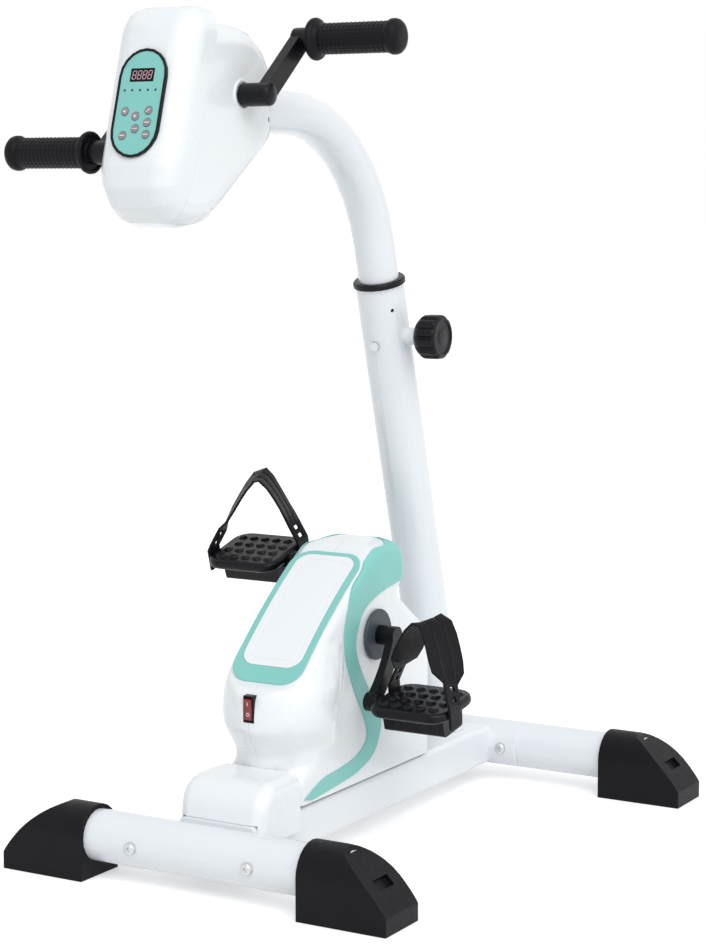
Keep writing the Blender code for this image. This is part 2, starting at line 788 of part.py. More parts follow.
def adjust_knob():
    """Fluted knob with a dished face and a blind bore for the plunger."""
    start = BOSS_END + GAP
    end = start + KNOB_LENGTH
    loops = []
    levels = [(start, 0.80), (start + 0.004, 0.97), (start + 0.006, 1.0), (end - 0.003, 1.0), (end, 0.93)]
    points = KNOB_FLUTES * 4
    for level, share in levels:
        loop = []
        for i in range(points):
            angle = 2.0 * math.pi * i / points
            flute = KNOB_FLUTE_DEPTH * (0.5 - 0.5 * math.cos(angle * KNOB_FLUTES))
            radius = (KNOB_RADIUS - flute) * share
            loop.append((radius * math.cos(angle), radius * math.sin(angle), level))
        loops.append(loop)
    knob = loft("adjust_knob", loops, black_plastic(), 40.0)
    cut(knob, rod("face", KNOB_RADIUS * 0.74, end - KNOB_FACE_RECESS, end + 0.01, black_plastic()))
    bore_end = BOSS_END + KNOB_LENGTH * 0.7 + GAP
    cut(knob, rod("bore", PIN_STEM_RADIUS + GAP, start - 0.01, bore_end, black_plastic(), SMALL_ROUND))
    return place(knob, on_mast(BOSS_PLACE), TURN_TO_X)


def column_path():
    """Centre line of the curved tube: up the mast, round the bend, then level towards the user."""
    along = Vector((0.0, -math.sin(MAST_LEAN), math.cos(MAST_LEAN)))
    start = on_mast(MAST_LENGTH - COLUMN_INSERT)
    bend = on_mast(BEND_START)
    inward = Vector((0.0, -math.cos(MAST_LEAN), -math.sin(MAST_LEAN)))
    centre = bend + inward * BEND_RADIUS
    turn = math.pi / 2.0 - MAST_LEAN
    steps = BEND_STEPS
    path = [(start, along)]
    for k in range(steps + 1):
        rotation = Matrix.Rotation(turn * k / steps, 3, 'X')
        path.append((centre + rotation @ (bend - centre), rotation @ along))
    last = path[-1][0]
    path.append((Vector((0.0, COLUMN_END_Y, last.z)), Vector((0.0, -1.0, 0.0))))
    return path


def curved_tube():
    """Bent round tube with a bore from end to end and a row of locking holes."""
    bm = bmesh.new()
    rings = {COLUMN_RADIUS: [], COLUMN_RADIUS - COLUMN_WALL: []}
    path = column_path()
    for radius, made in rings.items():
        for point, along in path:
            across = Vector((1.0, 0.0, 0.0))
            other = along.cross(across)
            ring = []
            for i in range(ROUND):
                angle = 2.0 * math.pi * i / ROUND
                spoke = across * math.cos(angle) + other * math.sin(angle)
                ring.append(bm.verts.new(point + spoke * radius))
            made.append(ring)
    outer = rings[COLUMN_RADIUS]
    inner = rings[COLUMN_RADIUS - COLUMN_WALL]
    for made in (outer, inner):
        for low, high in zip(made[:-1], made[1:]):
            for i in range(ROUND):
                j = (i + 1) % ROUND
                bm.faces.new((low[i], low[j], high[j], high[i]))
    for end in (0, -1):
        for i in range(ROUND):
            j = (i + 1) % ROUND
            bm.faces.new((outer[end][i], outer[end][j], inner[end][j], inner[end][i]))
    tube = mesh_object("curved_tube", bm, white_paint())
    for k in range(COLUMN_HOLES):
        place_on_mast = BOSS_PLACE + (1 - k) * COLUMN_HOLE_PITCH
        hole = rod("hole", COLUMN_HOLE_RADIUS, 0.01, 0.04, white_paint(), SMALL_ROUND)
        cut(tube, place(hole, on_mast(place_on_mast), TURN_TO_X))
    set_origin(tube, on_mast(MAST_LENGTH))
    return tube


# Head
def head_corners(top, back_radius):
    """Side outline of the head for a level top at a height, as (y, z, radius)."""
    lean = math.tan(FACE_LEAN)
    chin_y = FACE_Y - (FACE_Z - HEAD_BOTTOM) * lean
    brow_y = FACE_Y + (top - FACE_Z) * lean
    return [
        (chin_y, HEAD_BOTTOM, CHIN_RADIUS),
        (HEAD_HEEL_Y, HEAD_BOTTOM, HEEL_RADIUS),
        (HEAD_BACK_Y, HEAD_SLANT_Z, 0.040),
        (HEAD_BACK_Y, top, back_radius),
        (brow_y, top, BROW_RADIUS),
    ]


def in_face_frame(obj):
    """Places a body built with its face on local Z = 0 onto the head's leaning front."""
    return place(obj, (0.0, FACE_Y, FACE_Z), (math.pi / 2.0 - FACE_LEAN, 0.0, 0.0))


def head_shell(side):
    """One half of the head's rear shell, hollow, open at the middle and at the front."""
    corners = head_corners(HEAD_TOP - HEAD_STEP, HEAD_BACK_RADIUS)
    name = side_name("head_shell", side)
    body = soft_prism(name, corners, -HEAD_HALF_WIDTH, HEAD_HALF_WIDTH, HEAD_EDGE, white_plastic())
    cut(body, soft_prism("inside", corners, -HEAD_HALF_WIDTH, HEAD_HALF_WIDTH, HEAD_EDGE, white_plastic(), HEAD_WALL))
    front = box("front", (-0.1, -0.2, -FASCIA_DEPTH - GAP / 2.0), (0.1, 0.2, 0.1), white_plastic())
    cut(body, in_face_frame(front))
    middle_low = (-0.1 * side, -1.0, 0.6)
    middle_high = (GAP / 2.0 * side, 1.0, 1.1)
    low = [min(a, b) for a, b in zip(middle_low, middle_high)]
    high = [max(a, b) for a, b in zip(middle_low, middle_high)]
    cut(body, box("middle", low, high, white_plastic()))
    neck = rod("neck", COLUMN_RADIUS + GAP, -0.1, 0.1, white_plastic())
    cut(body, place(neck, (0.0, HEAD_BACK_Y, column_path()[-1][0].z), TURN_TO_Y))
    axle = rod("axle", HAND_AXLE_RADIUS + 0.001, 0.0, 0.08, white_plastic(), MID_ROUND)
    cut(body, place(axle, (0.0, HAND_Y, HAND_Z), (0.0, side * math.pi / 2.0, 0.0)))
    recess = rod("recess", HAND_BOSS_RADIUS + 0.003, HEAD_HALF_WIDTH - 0.0012, 0.08, white_plastic(), MID_ROUND)
    cut(body, place(recess, (0.0, HAND_Y, HAND_Z), (0.0, side * math.pi / 2.0, 0.0)))
    if side > 0:
        screw = rod("screw", SIDE_SCREW_HOLE, 0.03, 0.06, white_plastic(), SMALL_ROUND)
        cut(body, place(screw, (0.0, FRONT_Y + 0.068, HEAD_TOP - 0.115), TURN_TO_X))
    return body


def head_fascia():
    """Front block of the head, hollow, with the opening that the console sits in."""
    corners = head_corners(HEAD_TOP, HEAD_BACK_RADIUS)
    hollow = head_corners(HEAD_TOP - HEAD_STEP, HEAD_BACK_RADIUS)
    body = soft_prism("head_fascia", corners, -HEAD_HALF_WIDTH, HEAD_HALF_WIDTH, HEAD_EDGE, white_plastic())
    cut(body, soft_prism("inside", hollow, -HEAD_HALF_WIDTH, HEAD_HALF_WIDTH, HEAD_EDGE, white_plastic(), HEAD_WALL))
    reach = 2.0 * HEAD_HEIGHT
    back = box("back", (-reach, -reach, -reach), (reach, reach, -FASCIA_DEPTH + GAP / 2.0), white_plastic())
    cut(body, in_face_frame(back))
    opening = prism("opening", stadium(-CONSOLE_BODY_INSET + GAP), -0.02, 0.02, white_plastic(), 'Z')
    cut(body, in_face_frame(opening))
    return body


def stadium(grow):
    radius = CONSOLE_WIDTH / 2.0 + grow
    corners = rounded_rectangle(CONSOLE_WIDTH + 2.0 * grow, CONSOLE_LENGTH + 2.0 * grow, radius * 0.9999)
    return fillet_outline(corners, 0.0, STADIUM_STEPS)


def console_bezel():
    """Black tray with a rim that rests on the face and a box behind it."""
    low = GAP
    tray = prism("console_bezel", stadium(0.0), low, low + CONSOLE_PROUD, black_plastic(), 'Z')
    body = prism("body", stadium(-CONSOLE_BODY_INSET), -CONSOLE_DEPTH, low + 0.001, black_plastic(), 'Z')
    join(tray, body)
    floor = low + CONSOLE_PROUD - PANEL_DROP - PANEL_THICKNESS - GAP
    ledge = prism("ledge", stadium(-CONSOLE_RIM), floor, 0.02, black_plastic(), 'Z')
    pocket = prism("pocket", stadium(-CONSOLE_RIM - 0.002), floor - KEY_ROOM, 0.02, black_plastic(), 'Z')
    cut(tray, ledge, pocket)
    return in_face_frame(tray)


def panel_top():
    return GAP + CONSOLE_PROUD - PANEL_DROP


def key_places():
    return [
        (-0.0155, -0.0093),
        (-0.0015, -0.0145),
        (0.0140, -0.0085),
        (0.0145, -0.0214),
        (0.0003, -0.0280),
        (-0.0141, -0.0352),
        (0.0151, -0.0344),
    ]


def console_panel():
    top = panel_top()
    panel = prism("console_panel", stadium(-CONSOLE_RIM - GAP), top - PANEL_THICKNESS, top, aqua_plastic(), 'Z')
    for x, y in key_places():
        hole = rod("hole", KEY_RADIUS + KEY_CLEARANCE, -0.02, 0.02, aqua_plastic(), MID_ROUND)
        cut(panel, place(hole, (x, y, 0.0)))
    half_x = DISPLAY_WIDTH / 2.0 + GAP
    half_y = DISPLAY_HEIGHT / 2.0 + GAP
    low = (DISPLAY_X - half_x, DISPLAY_Y - half_y, top - DISPLAY_THICKNESS - GAP)
    high = (DISPLAY_X + half_x, DISPLAY_Y + half_y, 0.02)
    cut(panel, box("window", low, high, aqua_plastic()))
    return in_face_frame(panel)


def display_window():
    top = panel_top()
    low = (DISPLAY_X - DISPLAY_WIDTH / 2.0, DISPLAY_Y - DISPLAY_HEIGHT / 2.0, top - DISPLAY_THICKNESS)
    high = (DISPLAY_X + DISPLAY_WIDTH / 2.0, DISPLAY_Y + DISPLAY_HEIGHT / 2.0, top)
    return in_face_frame(box("display_window", low, high, black_plastic()))


def console_keys():
    frame = Matrix.Rotation(math.pi / 2.0 - FACE_LEAN, 4, 'X')
    for number, (x, y) in enumerate(key_places(), start=1):
        top = KEY_PROUD
        profile = [
            (0.0, -KEY_HEIGHT),
            (KEY_RADIUS, -KEY_HEIGHT),
            (KEY_RADIUS, top - 0.0006),
            (KEY_RADIUS * 0.85, top - 0.0001),
            (0.0, top),
        ]
        key = turned("key_%d" % number, profile, key_plastic(), SMALL_ROUND)
        centre = Vector((0.0, FACE_Y, FACE_Z)) + frame @ Vector((x, y, panel_top()))
        place(key, centre, (math.pi / 2.0 - FACE_LEAN, 0.0, 0.0))


def hand_gearbox():
    """Gear housing bolted to the curved tube's end, with its motor hanging below."""
    front = HAND_Y - GEARBOX_FRONT
    back = COLUMN_END_Y - GAP
    half = GEARBOX_WIDTH / 2.0
    low_z = HAND_Z - GEARBOX_HEIGHT / 2.0
    high_z = HAND_Z + GEARBOX_HEIGHT / 2.0
    corners = [(front, low_z, 0.006), (back, low_z, 0.006), (back, high_z, 0.006), (front, high_z, 0.006)]
    body = soft_prism("hand_gearbox", corners, -half, half, 0.003, grey_plastic())
    low = low_z - HAND_MOTOR_LENGTH
    motor = rod("motor", HAND_MOTOR_RADIUS, low, low_z + 0.002, grey_plastic(), MID_ROUND)
    join(body, place(motor, (0.0, HAND_MOTOR_Y, 0.0)))
    bore = rod("bore", HAND_AXLE_RADIUS + GAP, -0.1, 0.1, grey_plastic(), MID_ROUND)
    cut(body, place(bore, (0.0, HAND_Y, HAND_Z), TURN_TO_X))
    return body


def hand_axle():
    reach = HAND_ARM_INNER - GAP
    axle = rod("hand_axle", HAND_AXLE_RADIUS, -reach, reach, bright_steel(), MID_ROUND)
    return place(axle, (0.0, HAND_Y, HAND_Z), TURN_TO_X)


def crank_end(y, z, radius, angle):
    return y + radius * math.cos(angle), z + radius * math.sin(angle)


def hand_end(side):
    angle = HAND_ANGLE if side > 0 else HAND_ANGLE + math.pi
    return crank_end(HAND_Y, HAND_Z, HAND_RADIUS, angle)


def hand_arm(side):
    """Crank arm: boss on the axle, flat bar, end boss and the grip's spindle in one piece."""
    turn = (0.0, side * math.pi / 2.0, 0.0)
    end_y, end_z = hand_end(side)
    arm = rod(side_name("hand_arm", side), HAND_BOSS_RADIUS, HAND_BOSS_START, HAND_ARM_OUTER, black_plastic(), MID_ROUND)
    bake(place(arm, (0.0, HAND_Y, HAND_Z), turn))
    middle = Vector(((HAND_Y + end_y) / 2.0, (HAND_Z + end_z) / 2.0))
    angle = math.atan2(end_z - HAND_Z, end_y - HAND_Y)
    outline = fillet_outline(rounded_rectangle(HAND_RADIUS, HAND_ARM_WIDTH, 0.002))
    spin = Matrix.Rotation(angle, 2)
    outline = [tuple(middle + spin @ Vector(p)) for p in outline]
    low, high = sorted((side * HAND_ARM_INNER, side * HAND_ARM_OUTER))
    join(arm, prism("bar", outline, low, high, black_plastic()))
    end = rod("end", HAND_END_RADIUS, HAND_ARM_INNER, HAND_END_OUTER, black_plastic(), MID_ROUND)
    join(arm, place(end, (0.0, end_y, end_z), turn))
    spindle = rod("spindle", SPINDLE_RADIUS, HAND_ARM_OUTER, GRIP_END - 0.008, black_plastic(), MID_ROUND)
    join(arm, place(spindle, (0.0, end_y, end_z), turn))
    bore = rod("bore", HAND_AXLE_RADIUS + GAP, 0.0, HAND_ARM_INNER, black_plastic(), MID_ROUND)
    cut(arm, place(bore, (0.0, HAND_Y, HAND_Z), turn))
    set_origin(arm, (0.0, HAND_Y, HAND_Z))
    return arm


def grip(side):
    """Ribbed rubber grip with a wide inner flange and a flared end, free on its spindle."""
    bore = SPINDLE_RADIUS + GAP
    start = GRIP_START
    profile = [
        (bore, start),
        (GRIP_RADIUS, start),
        (GRIP_RADIUS, start + 0.002),
        (GRIP_FLANGE_RADIUS - 0.001, start + 0.003),
        (GRIP_FLANGE_RADIUS, start + 0.005),
        (GRIP_FLANGE_RADIUS - 0.002, start + 0.0075),
        (GRIP_RADIUS, start + 0.012),
    ]
    ribs_from = start + 0.014
    ribs_to = GRIP_END - 0.020
    pitch = (ribs_to - ribs_from) / GRIP_RIBS
    for k in range(GRIP_RIBS):
        low = ribs_from + k * pitch
        profile.append((GRIP_RADIUS, low))
        profile.append((GRIP_RADIUS + GRIP_RIB_HEIGHT, low + pitch / 2.0))
    profile += [
        (GRIP_RADIUS, ribs_to),
        (GRIP_FLARE_RADIUS, GRIP_END - 0.013),
        (GRIP_FLARE_RADIUS, GRIP_END - 0.008),
        (GRIP_FLARE_RADIUS - 0.003, GRIP_END - 0.002),
        (GRIP_FLARE_RADIUS * 0.55, GRIP_END),
        (0.0, GRIP_END),
        (0.0, GRIP_END - 0.008 + GAP),
        (bore, GRIP_END - 0.008 + GAP),
    ]
    body = open_bored(side_name("grip", side), profile)
    end_y, end_z = hand_end(side)
    return place(body, (0.0, end_y, end_z), (0.0, side * math.pi / 2.0, 0.0))


def open_bored(name, profile):
    """Turned body with a blind bore: the profile runs from the bore's mouth out, round the tip and
    back down the bore to where it began."""
    bm = bmesh.new()
    rings = []
    for radius, height in profile:
        if radius == 0.0:
            rings.append([bm.verts.new((0.0, 0.0, height))])
            continue
        ring = []
        for i in range(GRIP_SIDES):
            angle = 2.0 * math.pi * i / GRIP_SIDES
            ring.append(bm.verts.new((radius * math.cos(angle), radius * math.sin(angle), height)))
        rings.append(ring)
    pairs = [pair for pair in zip(rings[:-1], rings[1:]) if len(pair[0]) + len(pair[1]) > 2]
    pairs.append((rings[-1], rings[0]))
    for low, high in pairs:
        for i in range(GRIP_SIDES):
            j = (i + 1) % GRIP_SIDES
            corners = [low[i % len(low)], low[j % len(low)], high[j % len(high)], high[i % len(high)]]
            bm.faces.new(list(dict.fromkeys(corners)))
    return mesh_object(name, bm, black_rubber(), 50.0)


# Drive housing
def on_arch(distance, lift=0.0):
    """Point (y, z) on the deck's arch at a distance up the slope from its middle, and the slope there."""
    turn = distance / DECK_ARCH_RADIUS
    slope = DECK_SLOPE - turn
    reach = DECK_ARCH_RADIUS + lift
    y = DECK_Y + DECK_ARCH_RADIUS * math.sin(DECK_SLOPE) - reach * math.sin(slope)
    z = DECK_Z - DECK_ARCH_RADIUS * math.cos(DECK_SLOPE) + reach * math.cos(slope)
    return y, z, slope


def housing_corners():
    """Side outline of the drive housing, as (y, z, radius)."""
    low_y, low_z, low_slope = on_arch(-DECK_ARCH_REACH)
    high_y, high_z, high_slope = on_arch(DECK_ARCH_REACH)
    chest_z = low_z - (low_y - BULB_Y) * math.tan(low_slope)
    crest_y = high_y + (HOUSING_TOP - high_z) / math.tan(high_slope)
    arch = []
    for k in range(DECK_STEPS + 1):
        distance = DECK_ARCH_REACH * (1.0 - 2.0 * k / DECK_STEPS)
        arch.append((*on_arch(distance)[:2], 0.0))
    return [
        (NECK_Y, HOUSING_BOTTOM, 0.0),
        (HOUSING_BACK_Y, HOUSING_BOTTOM, 0.0),
        (HOUSING_BACK_Y, 0.236, 0.030),
        (FRONT_Y + 0.352, 0.294, 0.006),
        (HOUSING_TOP_BACK_Y, 0.306, 0.014),
        (HOUSING_TOP_BACK_Y, HOUSING_TOP, 0.036),
        (crest_y, HOUSING_TOP, CREST_RADIUS),
        *arch,
        (BULB_Y, chest_z, CHEST_RADIUS),
        (BULB_Y, BULB_CREASE, 0.010),
        (NECK_Y, BULB_BOTTOM, 0.006),
    ]


def round_front(inset):
    """Body that rounds the housing from side to side: square at the foot, then neck and bulb."""
    square = (NECK_Y, 0.002)
    neck = (NECK_Y, NECK_DEPTH)
    bulb = (BULB_Y, BULB_DEPTH)
    levels = [
        (0.0, square, 0.0),
        (LEDGE_Z - inset, square, 0.0),
        (NOSE_TOP - inset, neck, 0.0),
        (BULB_BOTTOM + inset, neck, NECK_LIFT),
        (BULB_CREASE + inset, bulb, 0.0),
        (HOUSING_TOP + BEYOND, bulb, 0.0),
    ]
    half = HOUSING_HALF + GAP - inset
    back = HOUSING_BACK_Y + BEYOND
    loops = []
    for level, (front, depth), lift in levels:
        loop = []
        for k in range(MOULD_STEPS + 1):
            angle = math.pi * (k / MOULD_STEPS - 0.5)
            y = front + inset - GAP + depth * (1.0 - math.cos(angle))
            loop.append((half * math.sin(angle), y, level + lift * math.sin(angle) ** 4))
        loop += [(half, back, level), (-half, back, level)]
        loops.append(loop)
    return loft("front", loops, white_plastic())


def crown(inset):
    """Body that rounds the housing's top from side to side."""
    outline = [(-CROWN_HALF, 0.0), (CROWN_HALF, 0.0)]
    for k in range(MOULD_STEPS + 1):
        angle = math.pi * (0.5 - k / MOULD_STEPS)
        z = HOUSING_TOP + GAP - inset - CROWN_DEPTH * (1.0 - math.cos(angle))
        outline.append(((CROWN_HALF - inset) * math.sin(angle), z))
    return prism("crown", outline, FRONT_Y, HOUSING_BACK_Y + BEYOND, white_plastic(), 'Y')


def housing_body(name, inset, mat):
    body = soft_prism(name, housing_corners(), -HOUSING_HALF, HOUSING_HALF, HOUSING_EDGE, mat, inset)
    keep_inside(body, round_front(inset))
    keep_inside(body, crown(inset))
    return body


def housing_half(side):
    name = side_name("housing", side)
    body = housing_body(name, 0.0, white_plastic())
    cut(body, housing_body("inside", HOUSING_WALL, white_plastic()))
    middle = sorted((-0.1 * side, GAP / 2.0 * side))
    cut(body, box("middle", (middle[0], -1.0, 0.0), (middle[1], 1.0, 0.5), white_plastic()))
    floor_y = sorted((FRONT_Y, HOUSING_BACK_Y + 0.1))
    bottom = box("bottom", (-0.1, floor_y[0], 0.0), (0.1, floor_y[1], HOUSING_BOTTOM + 0.0001), white_plastic())
    cut(body, bottom)
    opening = box(
        "opening",
        (-HOUSING_HALF + 0.016, NECK_Y + 0.012, HOUSING_BOTTOM - 0.01),
        (HOUSING_HALF - 0.016, HOUSING_BACK_Y - 0.012, HOUSING_BOTTOM + 0.01),
        white_plastic(),
    )
    cut(body, opening)
    axle = rod("axle", FOOT_AXLE_RADIUS + 0.0015, 0.0, 0.1, white_plastic(), MID_ROUND)
    cut(body, place(axle, (0.0, FOOT_CRANK_Y, FOOT_CRANK_Z), (0.0, side * math.pi / 2.0, 0.0)))
    half_x = SWITCH_WIDTH / 2.0
    half_z = SWITCH_HEIGHT / 2.0
    switch_low = (-half_x, BULB_Y - 0.02, SWITCH_Z - half_z)
    switch_high = (half_x, BULB_Y + 0.03, SWITCH_Z + half_z)
    cut(body, box("switch", switch_low, switch_high, white_plastic()))
    half_x = INLET_WIDTH / 2.0 + GAP
    half_z = INLET_HEIGHT / 2.0 + GAP
    inlet_low = (-half_x, HOUSING_BACK_Y - 0.03, INLET_Z - half_z)
    inlet_high = (half_x, HOUSING_BACK_Y + 0.03, INLET_Z + half_z)
    cut(body, box("inlet", inlet_low, inlet_high, white_plastic()))
    return body


def swoosh_outline():
    """Side outline of the coloured band: over the top at the back, round the crank, then forward."""
    y = FRONT_Y
    outer = [
        (y + 0.372, 0.372), (y + 0.301, 0.372), (y + 0.274, 0.3378), (y + 0.2409, 0.3126),
        (y + 0.2246, 0.2852), (y + 0.2177, 0.2565), (y + 0.2246, 0.2254), (y + 0.2409, 0.1923),
        (y + 0.267, 0.1507), (y + 0.2722, 0.1313), (y + 0.2647, 0.1206), (y + 0.2409, 0.1097),
        (y + 0.2013, 0.1038), (y + 0.1672, 0.1000), (y + 0.1280, 0.0845),
    ]
    inner = [
        (y + 0.1440, 0.0810), (y + 0.2128, 0.0870), (y + 0.2480, 0.0915), (y + 0.2839, 0.1042), (y + 0.3009, 0.1253),
        (y + 0.3033, 0.1496), (y + 0.2718, 0.1925), (y + 0.2503, 0.2268), (y + 0.2456, 0.2518),
        (y + 0.2598, 0.2796), (y + 0.2836, 0.2940), (y + 0.3200, 0.3035), (y + 0.372, 0.3100),
    ]
    return outer + inner


def swoosh_trim():
    """Thin coloured skin that follows the housing over its top and down both sides."""
    mat = aqua_plastic()
    body = housing_body("swoosh_trim", -GAP - TRIM_THICKNESS, mat)
    cut(body, housing_body("inside", -GAP, mat))
    keep_inside(body, prism("band", swoosh_outline(), -0.1, 0.1, mat))
    half = TRIM_CLEARING_WIDTH / 2.0
    clearing = [
        (-half, FRONT_Y, 0.0),
        (half, FRONT_Y, 0.0),
        (half, TRIM_CLEARING_Y, TRIM_CLEARING_CORNER),
        (-half, TRIM_CLEARING_Y, TRIM_CLEARING_CORNER),
    ]
    cut(body, prism("clearing", fillet_outline(clearing), 0.30, 0.50, mat, 'Z'))
    return body


def over_deck(obj):
    """Bends a plate built on local Z = 0 over the deck's arch."""
    bm = bmesh.new()
    bm.from_mesh(obj.data)
    for k in range(1, DECK_STEPS):
        level = DECK_FRAME_LENGTH * (k / DECK_STEPS - 0.5)
        parts = bm.verts[:] + bm.edges[:] + bm.faces[:]
        bmesh.ops.bisect_plane(bm, geom=parts, dist=MERGE, plane_co=(0.0, level, 0.0), plane_no=(0.0, 1.0, 0.0))
    for vert in bm.verts:
        y, z, slope = on_arch(vert.co.y, GAP + vert.co.z)
        vert.co = (vert.co.x, y, z)
    bm.to_mesh(obj.data)
    bm.free()
    return obj


def deck_frame():
    outer = fillet_outline(rounded_rectangle(DECK_FRAME_WIDTH, DECK_FRAME_LENGTH, DECK_FRAME_CORNER))
    frame = prism("deck_frame", outer, 0.0, DECK_FRAME_THICKNESS, aqua_plastic(), 'Z')
    window = rounded_rectangle(DECK_PANEL_WIDTH + 2 * GAP, DECK_PANEL_LENGTH + 2 * GAP, DECK_FRAME_CORNER * 0.7)
    hole = prism("window", fillet_outline(window), -0.01, 0.01, aqua_plastic(), 'Z')
    cut(frame, place(hole, (0.0, DECK_PANEL_LIFT, 0.0)))
    return over_deck(frame)


def deck_panel():
    corners = rounded_rectangle(DECK_PANEL_WIDTH, DECK_PANEL_LENGTH, DECK_FRAME_CORNER * 0.7)
    corners = [(x, y + DECK_PANEL_LIFT, radius) for x, y, radius in corners]
    panel = soft_prism(
        "deck_panel", corners, 0.0, DECK_PANEL_THICKNESS, 0.0008, white_plastic(), 0.0, 'Z', (False, True)
    )
    inner = fillet_outline(corners, DECK_EMBOSS_INSET)
    depth = DECK_PANEL_THICKNESS - DECK_EMBOSS_DEPTH
    cut(panel, prism("emboss", inner, depth, 0.01, white_plastic(), 'Z'))
    return over_deck(panel)


def switch_frame():
    """Black collar of the rocker switch, pressed into the housing's front."""
    half_x = SWITCH_WIDTH / 2.0 - GAP
    half_z = SWITCH_HEIGHT / 2.0 - GAP
    front = BULB_Y - SWITCH_PROUD
    low = (-half_x, front, SWITCH_Z - half_z)
    high = (half_x, BULB_Y + SWITCH_BODY, SWITCH_Z + half_z)
    frame = box("switch_frame", low, high, black_plastic())
    inner_x = half_x - SWITCH_RIM
    inner_z = half_z - SWITCH_RIM
    hollow_low = (-inner_x, front - 0.01, SWITCH_Z - inner_z)
    hollow_high = (inner_x, front + ROCKER_DEPTH + 0.002, SWITCH_Z + inner_z)
    cut(frame, box("hollow", hollow_low, hollow_high, black_plastic()))
    return frame


def rocker_pivot():
    return (0.0, BULB_Y - SWITCH_PROUD + 0.0045, SWITCH_Z)


def switch_rocker():
    """Two-way rocker: a shallow V seen from the side, tipped onto its off side."""
    half_x = SWITCH_WIDTH / 2.0 - SWITCH_RIM - 2.0 * GAP
    half_z = SWITCH_HEIGHT / 2.0 - SWITCH_RIM - 0.0011
    rise = half_z * math.tan(ROCKER_SWING / 2.0)
    front = -0.0052
    outline = [
        (front - rise, half_z - 0.0008),
        (front, 0.0),
        (front - rise, -half_z + 0.0008),
        (0.0025, -half_z),
        (0.0040, 0.0),
        (0.0025, half_z),
    ]
    rocker = prism("switch_rocker", outline, -half_x, half_x, switch_red())
    return place(rocker, rocker_pivot(), (ROCKER_SWING / 2.0, 0.0, 0.0))


def power_inlet():
    """Three-pin inlet low on the housing's back."""
    half_x = INLET_WIDTH / 2.0
    half_z = INLET_HEIGHT / 2.0
    low = (-half_x, HOUSING_BACK_Y - INLET_DEPTH, INLET_Z - half_z)
    high = (half_x, HOUSING_BACK_Y + 0.0015, INLET_Z + half_z)
    inlet = box("power_inlet", low, high, black_plastic())
    hollow_low = (-SOCKET_WIDTH / 2.0, HOUSING_BACK_Y - INLET_DEPTH + 0.004, INLET_Z - SOCKET_HEIGHT / 2.0)
    hollow_high = (SOCKET_WIDTH / 2.0, HOUSING_BACK_Y + 0.01, INLET_Z + SOCKET_HEIGHT / 2.0)
    cut(inlet, box("hollow", hollow_low, hollow_high, black_plastic()))
    for x, z in ((-0.007, -0.002), (0.0, 0.003), (0.007, -0.002)):
        pin_low = (x - 0.001, HOUSING_BACK_Y - INLET_DEPTH + 0.003, INLET_Z + z - 0.002)
        pin_high = (x + 0.001, pin_low[1] + INLET_PIN_LENGTH, INLET_Z + z + 0.002)
        join(inlet, box("pin", pin_low, pin_high, black_plastic()))
    return inlet


def nose_cover():
    """Saddle-shaped cover over the beam's front end, open below."""
    front = FRONT_Y + NOSE_FRONT
    back = NECK_Y - GAP
    beyond = back + 2.0 * NOSE_EDGE
    corners = [
        (front - 0.010, NOSE_BOTTOM - 2.0 * NOSE_EDGE, 0.0),
        (beyond, NOSE_BOTTOM - 2.0 * NOSE_EDGE, 0.0),
        (beyond, NOSE_TOP, 0.0),
        (front + 0.004, NOSE_TOP, 0.034),
    ]
    cover = soft_prism("nose_cover", corners, -NOSE_HALF, NOSE_HALF, NOSE_EDGE, white_plastic())
    inside = soft_prism("inside", corners, -NOSE_HALF, NOSE_HALF, NOSE_EDGE, white_plastic(), NOSE_WALL)
    cut(cover, inside)
    beam_half = BEAM_WIDTH / 2.0 + GAP
    beam_low = (-beam_half, front - 0.05, 0.0)
    beam_high = (beam_half, back + 0.05, BEAM_TOP + GAP)
    cut(cover, box("beam", beam_low, beam_high, white_plastic()))
    bore = rod("bore", BAR_RADIUS + SADDLE_THICKNESS + 3.0 * GAP, -0.1, 0.1, white_plastic())
    cut(cover, place(bore, (0.0, FRONT_Y, BAR_HEIGHT), TURN_TO_X))
    cut(cover, box("behind", (-0.1, back, -0.1), (0.1, back + 0.2, 0.2), white_plastic()))
    cut(cover, box("below", (-0.1, front - 0.1, -0.1), (0.1, back + 0.2, NOSE_BOTTOM), white_plastic()))
    return cover


# Foot drive
def foot_axle():
    reach = FOOT_ARM_INNER - GAP
    axle = rod("foot_axle", FOOT_AXLE_RADIUS, -reach, reach, bright_steel(), MID_ROUND)
    return place(axle, (0.0, FOOT_CRANK_Y, FOOT_CRANK_Z), TURN_TO_X)


def foot_bearing(side):
    outer = HOUSING_HALF - HOUSING_WALL - GAP
    inner = outer - BEARING_WIDTH
    bearing = pipe(
        side_name("foot_bearing", side), BEARING_RADIUS, FOOT_AXLE_RADIUS + GAP, inner, outer, bright_steel(), MID_ROUND
    )
    return place(bearing, (0.0, FOOT_CRANK_Y, FOOT_CRANK_Z), (0.0, side * math.pi / 2.0, 0.0))


def grooved_wheel(name, radius, bore, width, mat, segments):
    half = width / 2.0
    belt_half = BELT_WIDTH / 2.0 + GAP
    profile = [
        (bore, -half),
        (radius + BELT_THICKNESS, -half),
        (radius + BELT_THICKNESS, -belt_half),
        (radius, -belt_half),
        (radius, belt_half),
        (radius + BELT_THICKNESS, belt_half),
        (radius + BELT_THICKNESS, half),
        (bore, half),
    ]
    return turned(name, profile, mat, segments, closed=True)


def drive_pulley():
    wheel = grooved_wheel("drive_pulley", PULLEY_RADIUS, FOOT_AXLE_RADIUS + GAP, PULLEY_WIDTH, grey_plastic(), ROUND)
    return place(wheel, (0.0, FOOT_CRANK_Y, FOOT_CRANK_Z), TURN_TO_X)


